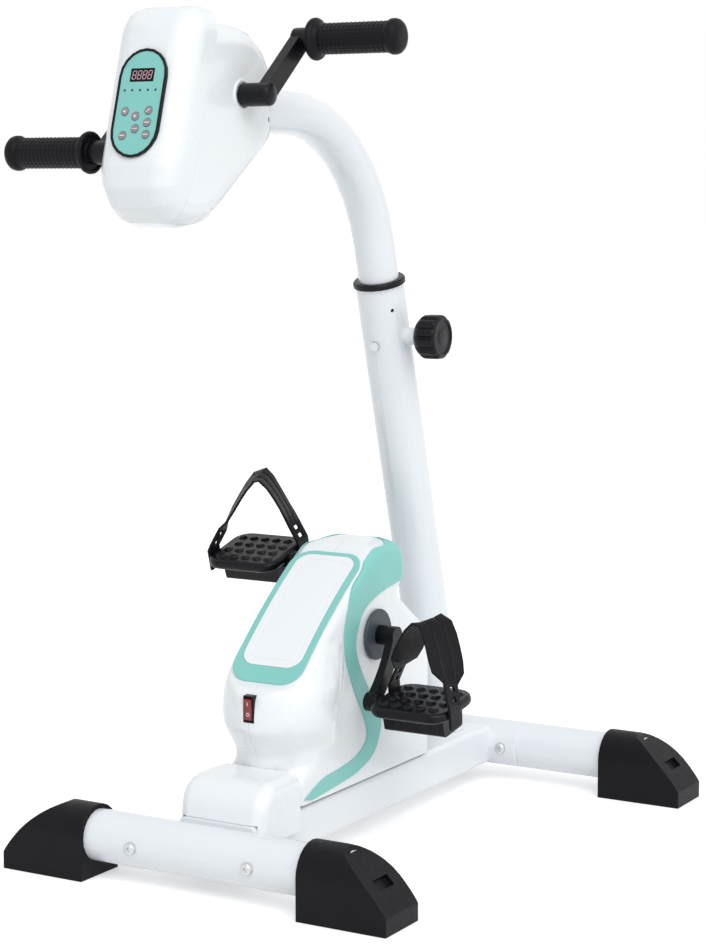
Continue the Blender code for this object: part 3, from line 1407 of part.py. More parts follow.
def motor():
    """Round motor on its bracket, seated on the beam."""
    start = PULLEY_WIDTH / 2.0 + 0.004
    body = rod("motor", MOTOR_RADIUS, -start - MOTOR_LENGTH * 0.5, -start, grey_plastic(), MID_ROUND)
    shaft = rod("shaft", MOTOR_SHAFT_RADIUS, -start - 0.002, PULLEY_WIDTH / 2.0 + 0.002, grey_plastic(), SMALL_ROUND)
    join(body, shaft)
    bake(place(body, (0.0, MOTOR_Y, MOTOR_Z), TURN_TO_X))
    low = (-start - MOTOR_LENGTH * 0.45, MOTOR_Y - 0.022, BEAM_TOP + GAP)
    high = (-start - MOTOR_LENGTH * 0.05, MOTOR_Y + 0.022, MOTOR_Z)
    join(body, box("bracket", low, high, grey_plastic()))
    return body


def motor_pulley():
    bore = MOTOR_SHAFT_RADIUS + GAP
    wheel = grooved_wheel("motor_pulley", MOTOR_PULLEY_RADIUS, bore, PULLEY_WIDTH, bright_steel(), MID_ROUND)
    return place(wheel, (0.0, MOTOR_Y, MOTOR_Z), TURN_TO_X)


def belt_outline(grow):
    """Open loop round both pulleys: two arcs joined by straight runs."""
    gap = Vector((FOOT_CRANK_Y - MOTOR_Y, FOOT_CRANK_Z - MOTOR_Z))
    heading = math.atan2(gap.y, gap.x)
    spread = math.acos((MOTOR_PULLEY_RADIUS - PULLEY_RADIUS) / gap.length)
    points = []
    for centre, radius, start, sweep in (
        ((FOOT_CRANK_Y, FOOT_CRANK_Z), PULLEY_RADIUS, heading - spread, 2.0 * spread),
        ((MOTOR_Y, MOTOR_Z), MOTOR_PULLEY_RADIUS, heading + spread, 2.0 * (math.pi - spread)),
    ):
        step = sweep / BELT_STEPS
        reach = (radius + GAP) / math.cos(step / 2.0) + grow
        for k in range(BELT_STEPS + 1):
            angle = start + step * k
            points.append((centre[0] + reach * math.cos(angle), centre[1] + reach * math.sin(angle)))
    return points


def drive_belt():
    half = BELT_WIDTH / 2.0
    belt = prism("drive_belt", belt_outline(BELT_THICKNESS), -half, half, black_rubber())
    cut(belt, prism("inside", belt_outline(0.0), -0.02, 0.02, black_rubber()))
    return belt


# Foot cranks and pedals
def foot_disc(side):
    inner = FOOT_AXLE_RADIUS + GAP
    start = FOOT_DISC_START
    profile = [
        (inner, start),
        (FOOT_DISC_RADIUS, start),
        (FOOT_DISC_RADIUS, start + FOOT_DISC_THICKNESS - 0.001),
        (FOOT_DISC_RADIUS - 0.001, start + FOOT_DISC_THICKNESS),
        (inner, start + FOOT_DISC_THICKNESS),
    ]
    disc = turned(side_name("foot_disc", side), profile, grey_plastic(), closed=True)
    return place(disc, (0.0, FOOT_CRANK_Y, FOOT_CRANK_Z), (0.0, side * math.pi / 2.0, 0.0))


def foot_end(side):
    angle = FOOT_CRANK_ANGLE if side > 0 else FOOT_CRANK_ANGLE + math.pi
    return crank_end(FOOT_CRANK_Y, FOOT_CRANK_Z, FOOT_CRANK_RADIUS, angle)


def bowed_bar(start, end, width, sagitta):
    """Outline of a bar between two centres, bent to one side."""
    a = Vector(start)
    b = Vector(end)
    along = (b - a).normalized()
    across = Vector((-along.y, along.x))
    left = []
    right = []
    for k in range(9):
        share = k / 8.0
        centre = a.lerp(b, share) + across * sagitta * 4.0 * share * (1.0 - share)
        left.append(centre + across * width / 2.0)
        right.append(centre - across * width / 2.0)
    return [tuple(p) for p in right + list(reversed(left))]


def foot_arm(side):
    """Crank arm: hub on the axle, bowed bar, end boss and the pedal's spindle in one piece."""
    turn = (0.0, side * math.pi / 2.0, 0.0)
    end_y, end_z = foot_end(side)
    arm = rod(side_name("foot_arm", side), FOOT_HUB_RADIUS, FOOT_HUB_START, FOOT_ARM_OUTER, black_plastic(), MID_ROUND)
    bake(place(arm, (0.0, FOOT_CRANK_Y, FOOT_CRANK_Z), turn))
    low, high = sorted((side * FOOT_ARM_INNER, side * FOOT_ARM_OUTER))
    outline = bowed_bar((FOOT_CRANK_Y, FOOT_CRANK_Z), (end_y, end_z), FOOT_ARM_WIDTH, FOOT_ARM_BOW)
    join(arm, prism("bar", outline, low, high, black_plastic()))
    end = rod("end", FOOT_END_RADIUS, FOOT_END_INNER, FOOT_END_OUTER, black_plastic(), MID_ROUND)
    join(arm, place(end, (0.0, end_y, end_z), turn))
    spindle = rod("spindle", PEDAL_SPINDLE_RADIUS, FOOT_ARM_OUTER, PEDAL_SPINDLE_END, black_plastic(), MID_ROUND)
    join(arm, place(spindle, (0.0, end_y, end_z), turn))
    bore = rod("bore", FOOT_AXLE_RADIUS + GAP, 0.0, FOOT_ARM_INNER, black_plastic(), MID_ROUND)
    cut(arm, place(bore, (0.0, FOOT_CRANK_Y, FOOT_CRANK_Z), turn))
    set_origin(arm, (0.0, FOOT_CRANK_Y, FOOT_CRANK_Z))
    return arm


def tread_bump():
    profile = [
        (0.0, -PEDAL_EDGE / 2.0),
        (TREAD_BUMP_RADIUS, -PEDAL_EDGE / 2.0),
        (TREAD_BUMP_RADIUS, 0.0),
        (TREAD_BUMP_RADIUS * 0.6, TREAD_BUMP_HEIGHT * 0.85),
        (0.0, TREAD_BUMP_HEIGHT),
    ]
    return turned("bump", profile, black_plastic(), 6)


def pedal(side):
    """Moulded platform with a studded tread, a spindle tube and a weight that keeps it level."""
    mat = black_plastic()
    plan = [
        (PEDAL_INNER, PEDAL_HEEL, PEDAL_HEEL_CORNER),
        (PEDAL_OUTER, PEDAL_HEEL, PEDAL_HEEL_CORNER),
        (PEDAL_OUTER, PEDAL_TOE, PEDAL_TOE_CORNER),
        (PEDAL_INNER, PEDAL_TOE, PEDAL_TOE_CORNER),
    ]
    body = soft_prism(side_name("pedal", side), plan, PEDAL_UNDERSIDE, PEDAL_TREAD, PEDAL_EDGE, mat, 0.0, 'Z')
    length_x = PEDAL_OUTER - PEDAL_INNER - 2.0 * TREAD_BUMP_MARGIN
    length_y = PEDAL_TOE - PEDAL_HEEL - 2.0 * TREAD_BUMP_MARGIN
    for row in range(TREAD_BUMP_ROWS):
        shift = TREAD_BUMP_SHIFT if row % 2 else -TREAD_BUMP_SHIFT
        for column in range(TREAD_BUMP_COLUMNS):
            x = PEDAL_INNER + TREAD_BUMP_MARGIN + length_x * (column + 0.5 + shift) / TREAD_BUMP_COLUMNS
            y = PEDAL_HEEL + TREAD_BUMP_MARGIN + length_y * (row + 0.5) / TREAD_BUMP_ROWS
            join(body, place(tread_bump(), (x, y, PEDAL_TREAD)))
    inside = (PEDAL_UNDERSIDE + PEDAL_TREAD) / 2.0
    weight = [
        (WEIGHT_FRONT, WEIGHT_BOTTOM, WEIGHT_FLARE),
        (WEIGHT_BACK, WEIGHT_BOTTOM, WEIGHT_FLARE),
        (WEIGHT_BACK + WEIGHT_FLARE, inside, 0.0),
        (WEIGHT_FRONT - WEIGHT_FLARE, inside, 0.0),
    ]
    join(body, prism("weight", fillet_outline(weight), WEIGHT_INNER, WEIGHT_OUTER, mat))
    tube = rod("tube", PEDAL_TUBE_RADIUS, FOOT_END_OUTER + GAP, PEDAL_TUBE_END, mat, MID_ROUND)
    join(body, place(tube, (0.0, 0.0, 0.0), TURN_TO_X))
    bore = rod("bore", PEDAL_SPINDLE_RADIUS + GAP, 0.0, PEDAL_SPINDLE_END + GAP, mat, MID_ROUND)
    cut(body, place(bore, (0.0, 0.0, 0.0), TURN_TO_X))
    return finish_pedal_piece(body, side)


def finish_pedal_piece(body, side):
    """Puts a piece built for the right pedal on its crank, toe up, mirrored for the left."""
    if side < 0:
        body.data.transform(Matrix.Diagonal((-1.0, 1.0, 1.0, 1.0)))
        body.data.flip_normals()
    end_y, end_z = foot_end(side)
    tilt = PEDAL_TILT_RIGHT if side > 0 else PEDAL_TILT_LEFT
    return place(body, (0.0, end_y, end_z), (tilt, 0.0, 0.0))


def strap_place(height, leg):
    """How far towards the toe the strap stands at a height, above a leg's own place."""
    share = max(0.0, (height - STRAP_SPRING) / (STRAP_TOP - STRAP_SPRING))
    return leg + (STRAP_TOP_PLACE - leg) * share


def strap_line():
    """Middle line of the strap's inner face as (point, share of the full pad), outer leg first."""
    half = (PEDAL_OUTER - PEDAL_INNER) / 2.0 + GAP
    middle = (PEDAL_OUTER + PEDAL_INNER) / 2.0
    fall = math.hypot(1.0, STRAP_ROUNDING) - STRAP_ROUNDING
    line = [(Vector((middle + half, STRAP_OUTER_PLACE, STRAP_BOTTOM)), 0.0)]
    for k in range(STRAP_STEPS + 1):
        across = math.cos(math.pi * k / STRAP_STEPS)
        up = 1.0 - (math.hypot(across, STRAP_ROUNDING) - STRAP_ROUNDING) / fall
        height = STRAP_SPRING + (STRAP_TOP - STRAP_SPRING) * up
        leg = STRAP_OUTER_PLACE if across > 0.0 else STRAP_INNER_PLACE
        pad = min(1.0, max(0.0, (height - STRAP_PAD_START) / STRAP_PAD_RUN))
        line.append((Vector((middle + half * across, strap_place(height, leg), height)), pad))
    line.append((Vector((middle - half, STRAP_INNER_PLACE, STRAP_BOTTOM)), 0.0))
    return line


def strap_section(point, along, pad):
    """Loop across the strap: flat inside, with two grooves along the pad outside."""
    toe = Vector((STRAP_INNER_PLACE - STRAP_OUTER_PLACE, PEDAL_OUTER - PEDAL_INNER, 0.0)).normalized() * pad
    toe += Vector((0.0, 1.0 - pad, 0.0))
    across = (toe - along * toe.dot(along)).normalized()
    outward = across.cross(along).normalized()
    width = STRAP_LEG_WIDTH + (STRAP_PAD_WIDTH - STRAP_LEG_WIDTH) * pad
    groove = 1.0 - STRAP_GROOVE * pad
    loop = [(-0.5, 0.0), (0.5, 0.0), (0.5, 1.0), (0.24, 1.0), (0.18, groove), (0.12, 1.0)]
    loop += [(-0.12, 1.0), (-0.18, groove), (-0.24, 1.0), (-0.5, 1.0)]
    return [point + across * width * w + outward * STRAP_THICKNESS * t for w, t in loop]


def pedal_strap(side):
    """Rubber strap over the foot: it leans towards the toe and is broad where it holds the foot."""
    line = strap_line()
    loops = []
    for k in range(len(line)):
        before = line[max(0, k - 1)][0]
        after = line[min(len(line) - 1, k + 1)][0]
        loops.append(strap_section(line[k][0], (after - before).normalized(), line[k][1]))
    strap = loft(side_name("pedal_strap", side), loops, black_rubber())
    half_width = STRAP_SLOT_WIDTH / 2.0
    half_height = STRAP_SLOT_HEIGHT / 2.0
    middle = (PEDAL_OUTER + PEDAL_INNER) / 2.0
    for reach, leg in ((BEYOND, STRAP_OUTER_PLACE), (-BEYOND, STRAP_INNER_PLACE)):
        for height in STRAP_SLOT_PLACES:
            y = strap_place(height, leg)
            low, high = sorted((middle, middle + reach))
            slot_low = (low, y - half_width, height - half_height)
            slot_high = (high, y + half_width, height + half_height)
            cut(strap, box("slot", slot_low, slot_high, black_rubber()))
    return finish_pedal_piece(strap, side)


def build():
    clear_scene()
    bar("front_bar", FRONT_WIDTH, FRONT_Y, FRONT_BOLT_X)
    bar("rear_bar", REAR_WIDTH, REAR_Y, REAR_BOLT_X)
    main_beam()
    for side in (-1, 1):
        foot(side_name("front_foot", side), side, FRONT_WIDTH, FRONT_Y)
        foot(side_name("rear_foot", side), side, REAR_WIDTH, REAR_Y)
    frame_bolts()
    mast_tube()
    mast_bushing()
    mast_screw()
    adjust_pin()
    adjust_knob()
    curved_tube()
    head_fascia()
    console_bezel()
    console_panel()
    display_window()
    console_keys()
    hand_gearbox()
    hand_axle()
    nose_cover()
    swoosh_trim()
    deck_frame()
    deck_panel()
    switch_frame()
    switch_rocker()
    power_inlet()
    foot_axle()
    drive_pulley()
    motor()
    motor_pulley()
    drive_belt()
    for side in (-1, 1):
        head_shell(side)
        hand_arm(side)
        grip(side)
        housing_half(side)
        foot_bearing(side)
        foot_disc(side)
        foot_arm(side)
        pedal(side)
        pedal_strap(side)


build()
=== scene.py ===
import json
import math

import bmesh
import bpy
from mathutils import Matrix, Vector
from mathutils.bvhtree import BVHTree


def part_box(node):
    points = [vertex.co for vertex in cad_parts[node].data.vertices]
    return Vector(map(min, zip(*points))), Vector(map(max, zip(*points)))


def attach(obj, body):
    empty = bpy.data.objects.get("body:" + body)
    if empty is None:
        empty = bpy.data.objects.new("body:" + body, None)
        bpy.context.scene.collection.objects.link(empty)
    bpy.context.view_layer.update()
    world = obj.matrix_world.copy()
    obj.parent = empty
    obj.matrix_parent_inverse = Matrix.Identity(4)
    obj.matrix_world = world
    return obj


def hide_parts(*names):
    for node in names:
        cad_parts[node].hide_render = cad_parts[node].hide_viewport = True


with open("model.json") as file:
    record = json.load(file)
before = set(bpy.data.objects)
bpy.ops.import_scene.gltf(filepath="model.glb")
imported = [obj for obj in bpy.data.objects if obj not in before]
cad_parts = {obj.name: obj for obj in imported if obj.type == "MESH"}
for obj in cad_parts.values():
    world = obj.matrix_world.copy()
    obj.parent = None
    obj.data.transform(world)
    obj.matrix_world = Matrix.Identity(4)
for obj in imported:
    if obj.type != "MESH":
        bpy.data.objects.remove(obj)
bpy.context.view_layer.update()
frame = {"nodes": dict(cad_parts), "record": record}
NODES = frame["nodes"]

# Camera
CAMERA_AZIMUTH = math.radians(30.31)
CAMERA_ELEVATION = math.radians(7.08)
CAMERA_PLACE = (1.4284, -2.3873, 0.789)
CAMERA_LENS = 88.91
SENSOR_WIDTH = 36.0
CLIP_START = 0.05
CLIP_END = 100.0

# Light, with each sun's name, turn in degrees, strength and width in degrees
WHITE = (1.0, 1.0, 1.0, 1.0)
WORLD_COLOUR = (0.96, 0.98, 1.0, 1.0)
WORLD_STRENGTH = 0.59
SUNS = (
    ("key", (38.0, 20.0, 12.0), 0.95, 40.0),
    ("side", (58.0, 0.0, 70.0), 0.85, 60.0),
)
FLOOR_REACH = 40.0
FLOOR_DROP = 0.0003
FLOOR_COLOUR = (0.88, 0.88, 0.88, 1.0)
FLOOR_GLOW = 0.42

# Finish
NOISE_LOW = 0.3
NOISE_HIGH = 0.7
STREAK_SCALE = 260.0
STREAK_STRETCH = (1.0, 1.0, 14.0)
STREAK_SHADE = 0.86
STREAK_GRAIN = 1400.0

# Console
PANEL_LEAN = math.radians(16.4)
PANEL_PLACE = Vector((0.0, -0.3811, 0.871))
PANEL_ACROSS = Vector((1.0, 0.0, 0.0))
PANEL_UP = Vector((0.0, math.sin(PANEL_LEAN), math.cos(PANEL_LEAN)))
PANEL_OUT = Vector((0.0, -math.cos(PANEL_LEAN), math.sin(PANEL_LEAN)))
PANEL_AXES = (PANEL_ACROSS, PANEL_UP, PANEL_OUT)
DIGIT_COUNT = 4
DIGIT_WIDTH = 0.0042
DIGIT_HEIGHT = 0.0088
DIGIT_STROKE = 0.00075
DIGIT_PITCH = 0.0066
DIGIT_SLANT = 0.12
DISPLAY_PLACE = (-0.001, 0.030)
LAMP_HEIGHT = 0.0136
LAMP_PLACES = (-0.0202, -0.0105, -0.0007, 0.0092, 0.0188)
LAMP_RADIUS = 0.0013
MARK_PROUD = 0.00012
LAMP_PROUD = MARK_PROUD * 3
KEY_STROKE = 0.0010

# Rocker marks: a bar's width and height, and a ring's outer and inner radius
ROCKER_SHIFT = 0.0062
ROCKER_BAR = (0.0009, 0.0046)
ROCKER_RING = (0.0022, 0.0014)
ROCKER_FEEL = 0.002
ARC_SHARE = 0.94

# Hand crank and knob
GRIP_START = 0.0945
GRIP_END = 0.2050
GRIP_RADIUS = 0.0160
GRIP_FLANGE = 0.0230
GRIP_FLARE = 0.0192
GRIP_BORE = 0.0058
GRIP_RIBS = 15
GRIP_STUDS = 22
GRIP_STUD_HEIGHT = 0.0007
# The ring's inner radius, outer radius, start and end
BOSS_RING = (0.0138, 0.0172, 0.0485, 0.0514)
# The dome's radius, start and rise
BOSS_DOME = (0.0122, 0.0835, 0.0052)
RING_STEPS = 64
DOME_STEPS = 6
DOME_SIDES = 48
DOME_FOOT = 0.001
KNOB_START = 0.0488
KNOB_END = 0.0798
KNOB_RADIUS = 0.0275
KNOB_LOBES = 12
KNOB_LOBE_DEPTH = 0.0034
KNOB_BORE = 0.0043

# Head
CHIN_TOP = 0.820
CHIN_BOTTOM = 0.742
CHIN_DRAW = 0.16
CHIN_CUTS = 14
CHIN_FRONT = -0.385
CHIN_BACK = -0.315

# Edges and joins, with angles in degrees
FLAT_ANGLE = 0.4
SHARP_ANGLE = 32.0
TURNED_ANGLE = 50.0
SHELL_EDGE = 0.0008
PLATE_EDGE = 0.0004
TURNED_EDGE = 0.0003
BOSS_EDGE = 0.0002
GAP = 0.0003
MERGE = 0.000001
SPLIT = 0.000004
OVER = 0.01
BEYOND = 0.1

# Drive housing
FRONT_Y = -0.2761
HOUSING_HALF = 0.054
HOUSING_EDGE = 0.013
HOUSING_WALL = 0.003
HOUSING_BOTTOM = 0.078
HOUSING_TOP = 0.362
HOUSING_BACK_Y = FRONT_Y + 0.436
HOUSING_TOP_BACK_Y = FRONT_Y + 0.369
NECK_Y = FRONT_Y + 0.115
BULB_Y = FRONT_Y + 0.0950
BULB_BOTTOM = 0.131
BULB_CREASE = 0.164
BULB_SHOULDER = 0.180
BULB_DEPTH = 0.071
# Height, half width and distance behind the bulb's front
BULB_LEVELS = (
    (BULB_CREASE, 0.0655, 0.0005), (BULB_SHOULDER, 0.0680, 0.0), (0.198, 0.0690, 0.003),
    (0.2105, 0.0680, 0.006), (0.225, 0.0650, 0.012), (0.245, 0.0595, 0.022),
    (0.262, 0.0530, 0.030), (0.285, 0.0460, 0.040),
)
NECK_DEPTH = 0.052
LIP_HALF = 0.057
LIP_DEPTH = 0.063
LIP_LIFT = 0.014
NOSE_TOP = 0.119
LEDGE_Z = 0.100
# Corners of the side outline, as y, z and rounding
BACK_TURN = (HOUSING_BACK_Y, 0.236, 0.030)
BACK_NOTCH = (FRONT_Y + 0.352, 0.294, 0.006)
CROWN_FOOT = (HOUSING_TOP_BACK_Y, 0.306, 0.014)
CROWN_BACK_ROUND = 0.036
CROWN_FRONT_ROUND = 0.070
CHEST_TOP = (FRONT_Y + 0.0995, 0.2118, 0.019)
BULB_TOP = (BULB_Y, BULB_SHOULDER, 0.040)
BULB_ROUND = 0.004
DECK_Y = FRONT_Y + 0.1994
DECK_Z = 0.2866
DECK_SLOPE = math.radians(38.75)
DECK_ARCH_RADIUS = 0.83
DECK_ARCH_REACH = 0.114
DECK_FOOT = 0.105
CROWN_DEPTH = 0.022
CROWN_HALF = 0.056
ARCH_STEPS = 20
MOULD_STEPS = 48
FILLET_STEPS = 12
EDGE_STEPS = 6
# Width, length and corner radius, and the window's shift along the slope
DECK_FRAME = (0.096, 0.2075, 0.026)
DECK_WINDOW = (0.080, 0.178, 0.0182, 0.008)
# Heights over the housing, each with how far the outline is drawn in there
DECK_FRAME_LEVELS = ((0.0, 0.0), (0.0016, 0.0), (0.0020, 0.0005))
DECK_PANEL_LEVELS = ((0.0, 0.0), (0.0020, 0.0), (0.0024, 0.0006))
DECK_GROOVE = 0.009
DECK_GROOVE_FLOOR = 0.0018
DECK_GROOVE_WIDTH = 0.0012
SKIRT = 0.03
GRID = 0.003
FLOW_STEPS = 12
CRANK_PLACE = (FRONT_Y + 0.2934, 0.2512)
CRANK_HOLE = 0.0105
CRANK_STEPS = 32
SWITCH_PLACE = (BULB_Y + 0.0015, 0.1915)
SWITCH_HALF = (0.00725, 0.016)
SWITCH_DEPTH = 0.02
INLET_PLACE = (HOUSING_BACK_Y, 0.105)
INLET_HALF = (0.0223, 0.0183)
INLET_DEPTH = 0.03
CUT_OUT = 0.03

# Coloured trim, with its (distance from the front, height) points
TRIM_THICKNESS = 0.0012
TRIM_CLEARING = 0.047
TRIM_CLEARING_Y = FRONT_Y + 0.349
TRIM_CLEARING_ROUND = 0.030
TRIM_CLEARING_LEVELS = ((0.30, 0.0), (0.50, 0.0))
SWOOSH_CORNER = (0.372, 0.372)
SWOOSH_OUTER = (
    (0.301, 0.372), (0.274, 0.3378), (0.2409, 0.3126), (0.2246, 0.2852), (0.2177, 0.2565),
    (0.2246, 0.2254), (0.2409, 0.1923), (0.267, 0.1507), (0.2722, 0.1313), (0.2647, 0.1206),
    (0.2409, 0.1097), (0.2013, 0.1038), (0.1672, 0.1000), (0.1280, 0.0845),
)
SWOOSH_INNER = (
    (0.1440, 0.0810), (0.2128, 0.0870), (0.2480, 0.0915), (0.2839, 0.1042),
    (0.3009, 0.1253), (0.3033, 0.1496), (0.2718, 0.1925), (0.2503, 0.2268), (0.2456, 0.2518),
    (0.2598, 0.2796), (0.2836, 0.2940), (0.3200, 0.3035), (0.372, 0.3100),
)
SWOOSH_STEPS = 5

# Beam
BEAM_END_LOW = (-0.0474, FRONT_Y + 0.0272, 0.0580)
BEAM_END_HIGH = (0.0474, FRONT_Y + 0.0292, 0.0726)


def look_at_photo():
    """The camera of the photograph."""
    forward = Vector((
        -math.sin(CAMERA_AZIMUTH) * math.cos(CAMERA_ELEVATION),
        math.cos(CAMERA_AZIMUTH) * math.cos(CAMERA_ELEVATION),
        -math.sin(CAMERA_ELEVATION),
    ))
    right = Vector((math.cos(CAMERA_AZIMUTH), math.sin(CAMERA_AZIMUTH), 0.0))
    up = right.cross(forward)
    data = bpy.data.cameras.new("camera")
    data.sensor_fit = "AUTO"
    data.sensor_width = SENSOR_WIDTH
    data.lens = CAMERA_LENS
    data.clip_start = CLIP_START
    data.clip_end = CLIP_END
    camera = bpy.data.objects.new("camera", data)
    bpy.context.scene.collection.objects.link(camera)
    turn = Matrix((right, up, -forward)).transposed().to_4x4()
    camera.matrix_world = Matrix.Translation(CAMERA_PLACE) @ turn
    bpy.context.scene.camera = camera


# Shader nodes


def fresh(name):
    material = bpy.data.materials.new(name)
    material.use_nodes = True
    nodes = material.node_tree.nodes
    nodes.clear()
    shader = nodes.new("ShaderNodeBsdfPrincipled")
    output = nodes.new("ShaderNodeOutputMaterial")
    material.node_tree.links.new(shader.outputs["BSDF"], output.inputs["Surface"])
    return material, shader


def noise(material, scale, detail=3.0, roughness=0.5, stretch=None):
    nodes, links = material.node_tree.nodes, material.node_tree.links
    place = nodes.new("ShaderNodeTexCoord")
    texture = nodes.new("ShaderNodeTexNoise")
    texture.inputs["Scale"].default_value = scale
    texture.inputs["Detail"].default_value = detail
    texture.inputs["Roughness"].default_value = roughness
    source = place.outputs["Object"]
    if stretch:
        mapping = nodes.new("ShaderNodeMapping")
        mapping.inputs["Scale"].default_value = stretch
        links.new(source, mapping.inputs["Vector"])
        source = mapping.outputs["Vector"]
    links.new(source, texture.inputs["Vector"])
    return texture.outputs["Fac"]


def spread(material, value, low, high):
    nodes, links = material.node_tree.nodes, material.node_tree.links
    ramp = nodes.new("ShaderNodeMapRange")
    ramp.inputs["From Min"].default_value = NOISE_LOW
    ramp.inputs["From Max"].default_value = NOISE_HIGH
    ramp.inputs["To Min"].default_value = low
    ramp.inputs["To Max"].default_value = high
    links.new(value, ramp.inputs["Value"])
    return ramp.outputs["Result"]


def tinted(material, value, first, second):
    nodes, links = material.node_tree.nodes, material.node_tree.links
    ramp = nodes.new("ShaderNodeValToRGB")
    ramp.color_ramp.elements[0].position = NOISE_LOW
    ramp.color_ramp.elements[0].color = (*first, 1.0)
    ramp.color_ramp.elements[1].position = NOISE_HIGH
    ramp.color_ramp.elements[1].color = (*second, 1.0)
    links.new(value, ramp.inputs["Fac"])
    return ramp.outputs["Color"]


def bumped(material, shader, value, strength, depth):
    nodes, links = material.node_tree.nodes, material.node_tree.links
    bump = nodes.new("ShaderNodeBump")
    bump.inputs["Strength"].default_value = strength
    bump.inputs["Distance"].default_value = depth
    links.new(value, bump.inputs["Height"])
    links.new(bump.outputs["Normal"], shader.inputs["Normal"])


def surface(name, colour, shade, mottle, rough, grain=900.0, depth=0.00004, strength=0.3, **sockets):
    """A finish whose colour and roughness drift a little and that has a fine grain."""
    material, shader = fresh(name)
    links = material.node_tree.links
    dark = tuple(c * (1.0 - shade) for c in colour)
    links.new(tinted(material, noise(material, mottle), dark, colour), shader.inputs["Base Color"])
    links.new(spread(material, noise(material, mottle * 6.0), *rough), shader.inputs["Roughness"])
    bumped(material, shader, noise(material, grain, detail=2.0), strength, depth)
    for socket, value in sockets.items():
        shader.inputs[socket.replace("_", " ")].default_value = value
    return material


def brushed(name, colour, rough):
    """A metal with fine streaks."""
    material, shader = fresh(name)
    links = material.node_tree.links
    streak = noise(material, STREAK_SCALE, stretch=STREAK_STRETCH)
    dark = tuple(c * STREAK_SHADE for c in colour)
    links.new(tinted(material, streak, dark, colour), shader.inputs["Base Color"])
    links.new(spread(material, streak, *rough), shader.inputs["Roughness"])
    bumped(material, shader, noise(material, STREAK_GRAIN), 0.2, 0.00003)
    shader.inputs["Metallic"].default_value = 1.0
    return material


FINISH = {
    "white_paint": surface("white_paint", (0.81, 0.84, 0.87), 0.01, 5.0, (0.24, 0.27),
                           420.0, 0.00005, 0.12, Coat_Weight=0.4, Coat_Roughness=0.08),
    "white_plastic": surface("white_plastic", (0.85, 0.88, 0.90), 0.01, 4.0, (0.26, 0.28),
                             700.0, 0.00003, 0.10, Coat_Weight=0.4, Coat_Roughness=0.10),
    "aqua_plastic": surface("aqua_plastic", (0.235, 0.600, 0.555), 0.05, 16.0, (0.30, 0.38)),
    "black_rubber": surface("black_rubber", (0.005, 0.005, 0.007), 0.25, 30.0, (0.42, 0.54),
                            1100.0, 0.00008, 0.4, Specular_IOR_Level=0.15),
    "black_plastic": surface("black_plastic", (0.004, 0.004, 0.006), 0.20, 24.0, (0.26, 0.36),
                             1300.0, 0.00005, 0.3, Specular_IOR_Level=0.20),
    "grey_plastic": surface("grey_plastic", (0.060, 0.075, 0.092), 0.10, 22.0, (0.42, 0.52),
                            1200.0, 0.00006, 0.4, Specular_IOR_Level=0.30),
    "key_plastic": surface("key_plastic", (0.30, 0.25, 0.27), 0.08, 60.0, (0.28, 0.36)),
    "display": surface("display", (0.005, 0.005, 0.008), 0.20, 40.0, (0.10, 0.16),
                       300.0, 0.00002, 0.1, Specular_IOR_Level=0.12),
    "bright_steel": brushed("bright_steel", (0.66, 0.67, 0.68), (0.24, 0.34)),
    "motor_steel": surface("motor_steel", (0.10, 0.12, 0.14), 0.12, 20.0, (0.42, 0.54)),
    "switch_red": surface("switch_red", (0.24, 0.012, 0.012), 0.08, 40.0, (0.16, 0.24), Coat_Weight=0.3),
}
DIGIT_GLOW = surface("digit", (0.50, 0.30, 0.34), 0.05, 200.0, (0.3, 0.4),
                     Emission_Strength=0.22, Emission_Color=(0.90, 0.50, 0.58, 1.0))
LAMP_DARK = surface("lamp", (0.010, 0.022, 0.024), 0.1, 300.0, (0.12, 0.2), Coat_Weight=0.6)
MARK_WHITE = surface("mark_white", (0.82, 0.80, 0.80), 0.03, 200.0, (0.35, 0.45))


# Edges


def softened(piece, width, angle=SHARP_ANGLE, segments=2):
    """Rounds the edges sharper than the angle and evens the shading round them."""
    bevel = piece.modifiers.new("bevel", "BEVEL")
    bevel.width = width
    bevel.segments = segments
    bevel.limit_method = "ANGLE"
    bevel.angle_limit = math.radians(angle)
    bevel.use_clamp_overlap = True
    normals = piece.modifiers.new("normals", "WEIGHTED_NORMAL")
    normals.mode = "FACE_AREA_WITH_ANGLE"
    normals.keep_sharp = False
    piece.data.shade_smooth()


def round_edges(piece, width):
    """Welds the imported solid's split corners, joins its flat faces and rounds its sharp edges."""
    weld = piece.modifiers.new("weld", "WELD")
    weld.merge_threshold = SPLIT
    flats = piece.modifiers.new("flats", "DECIMATE")
    flats.decimate_type = "DISSOLVE"
    flats.angle_limit = math.radians(FLAT_ANGLE)
    softened(piece, width, segments=3)


EDGE_WIDTHS = {
    "white_paint": 0.0008,
    "white_plastic": 0.0008,
    "aqua_plastic": 0.0005,
    "black_rubber": 0.0008,
    "black_plastic": 0.0006,
    "grey_plastic": 0.0006,
    "key_plastic": 0.0003,
    "display": 0.0003,
    "bright_steel": 0.0003,
    "motor_steel": 0.0008,
    "switch_red": 0.0004,
}
NODE_EDGES = {
    "hand_arm_left": 0.0022,
    "hand_arm_right": 0.0022,
    "foot_arm_left": 0.0018,
    "foot_arm_right": 0.0018,
}


def dress_nodes():
    """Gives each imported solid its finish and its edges."""
    for entry in frame["record"]["subparts"]:
        name, kind = entry["node"], entry["material_slot"]
        piece = NODES[name]
        piece.data.materials.clear()
        piece.data.materials.append(FINISH[kind])
        round_edges(piece, NODE_EDGES.get(name, EDGE_WIDTHS[kind]))


# Flat outlines


def disc(u, v, radius, count=20):
    angles = [2.0 * math.pi * k / count for k in range(count)]
    return [(u + radius * math.cos(angle), v + radius * math.sin(angle)) for angle in angles]


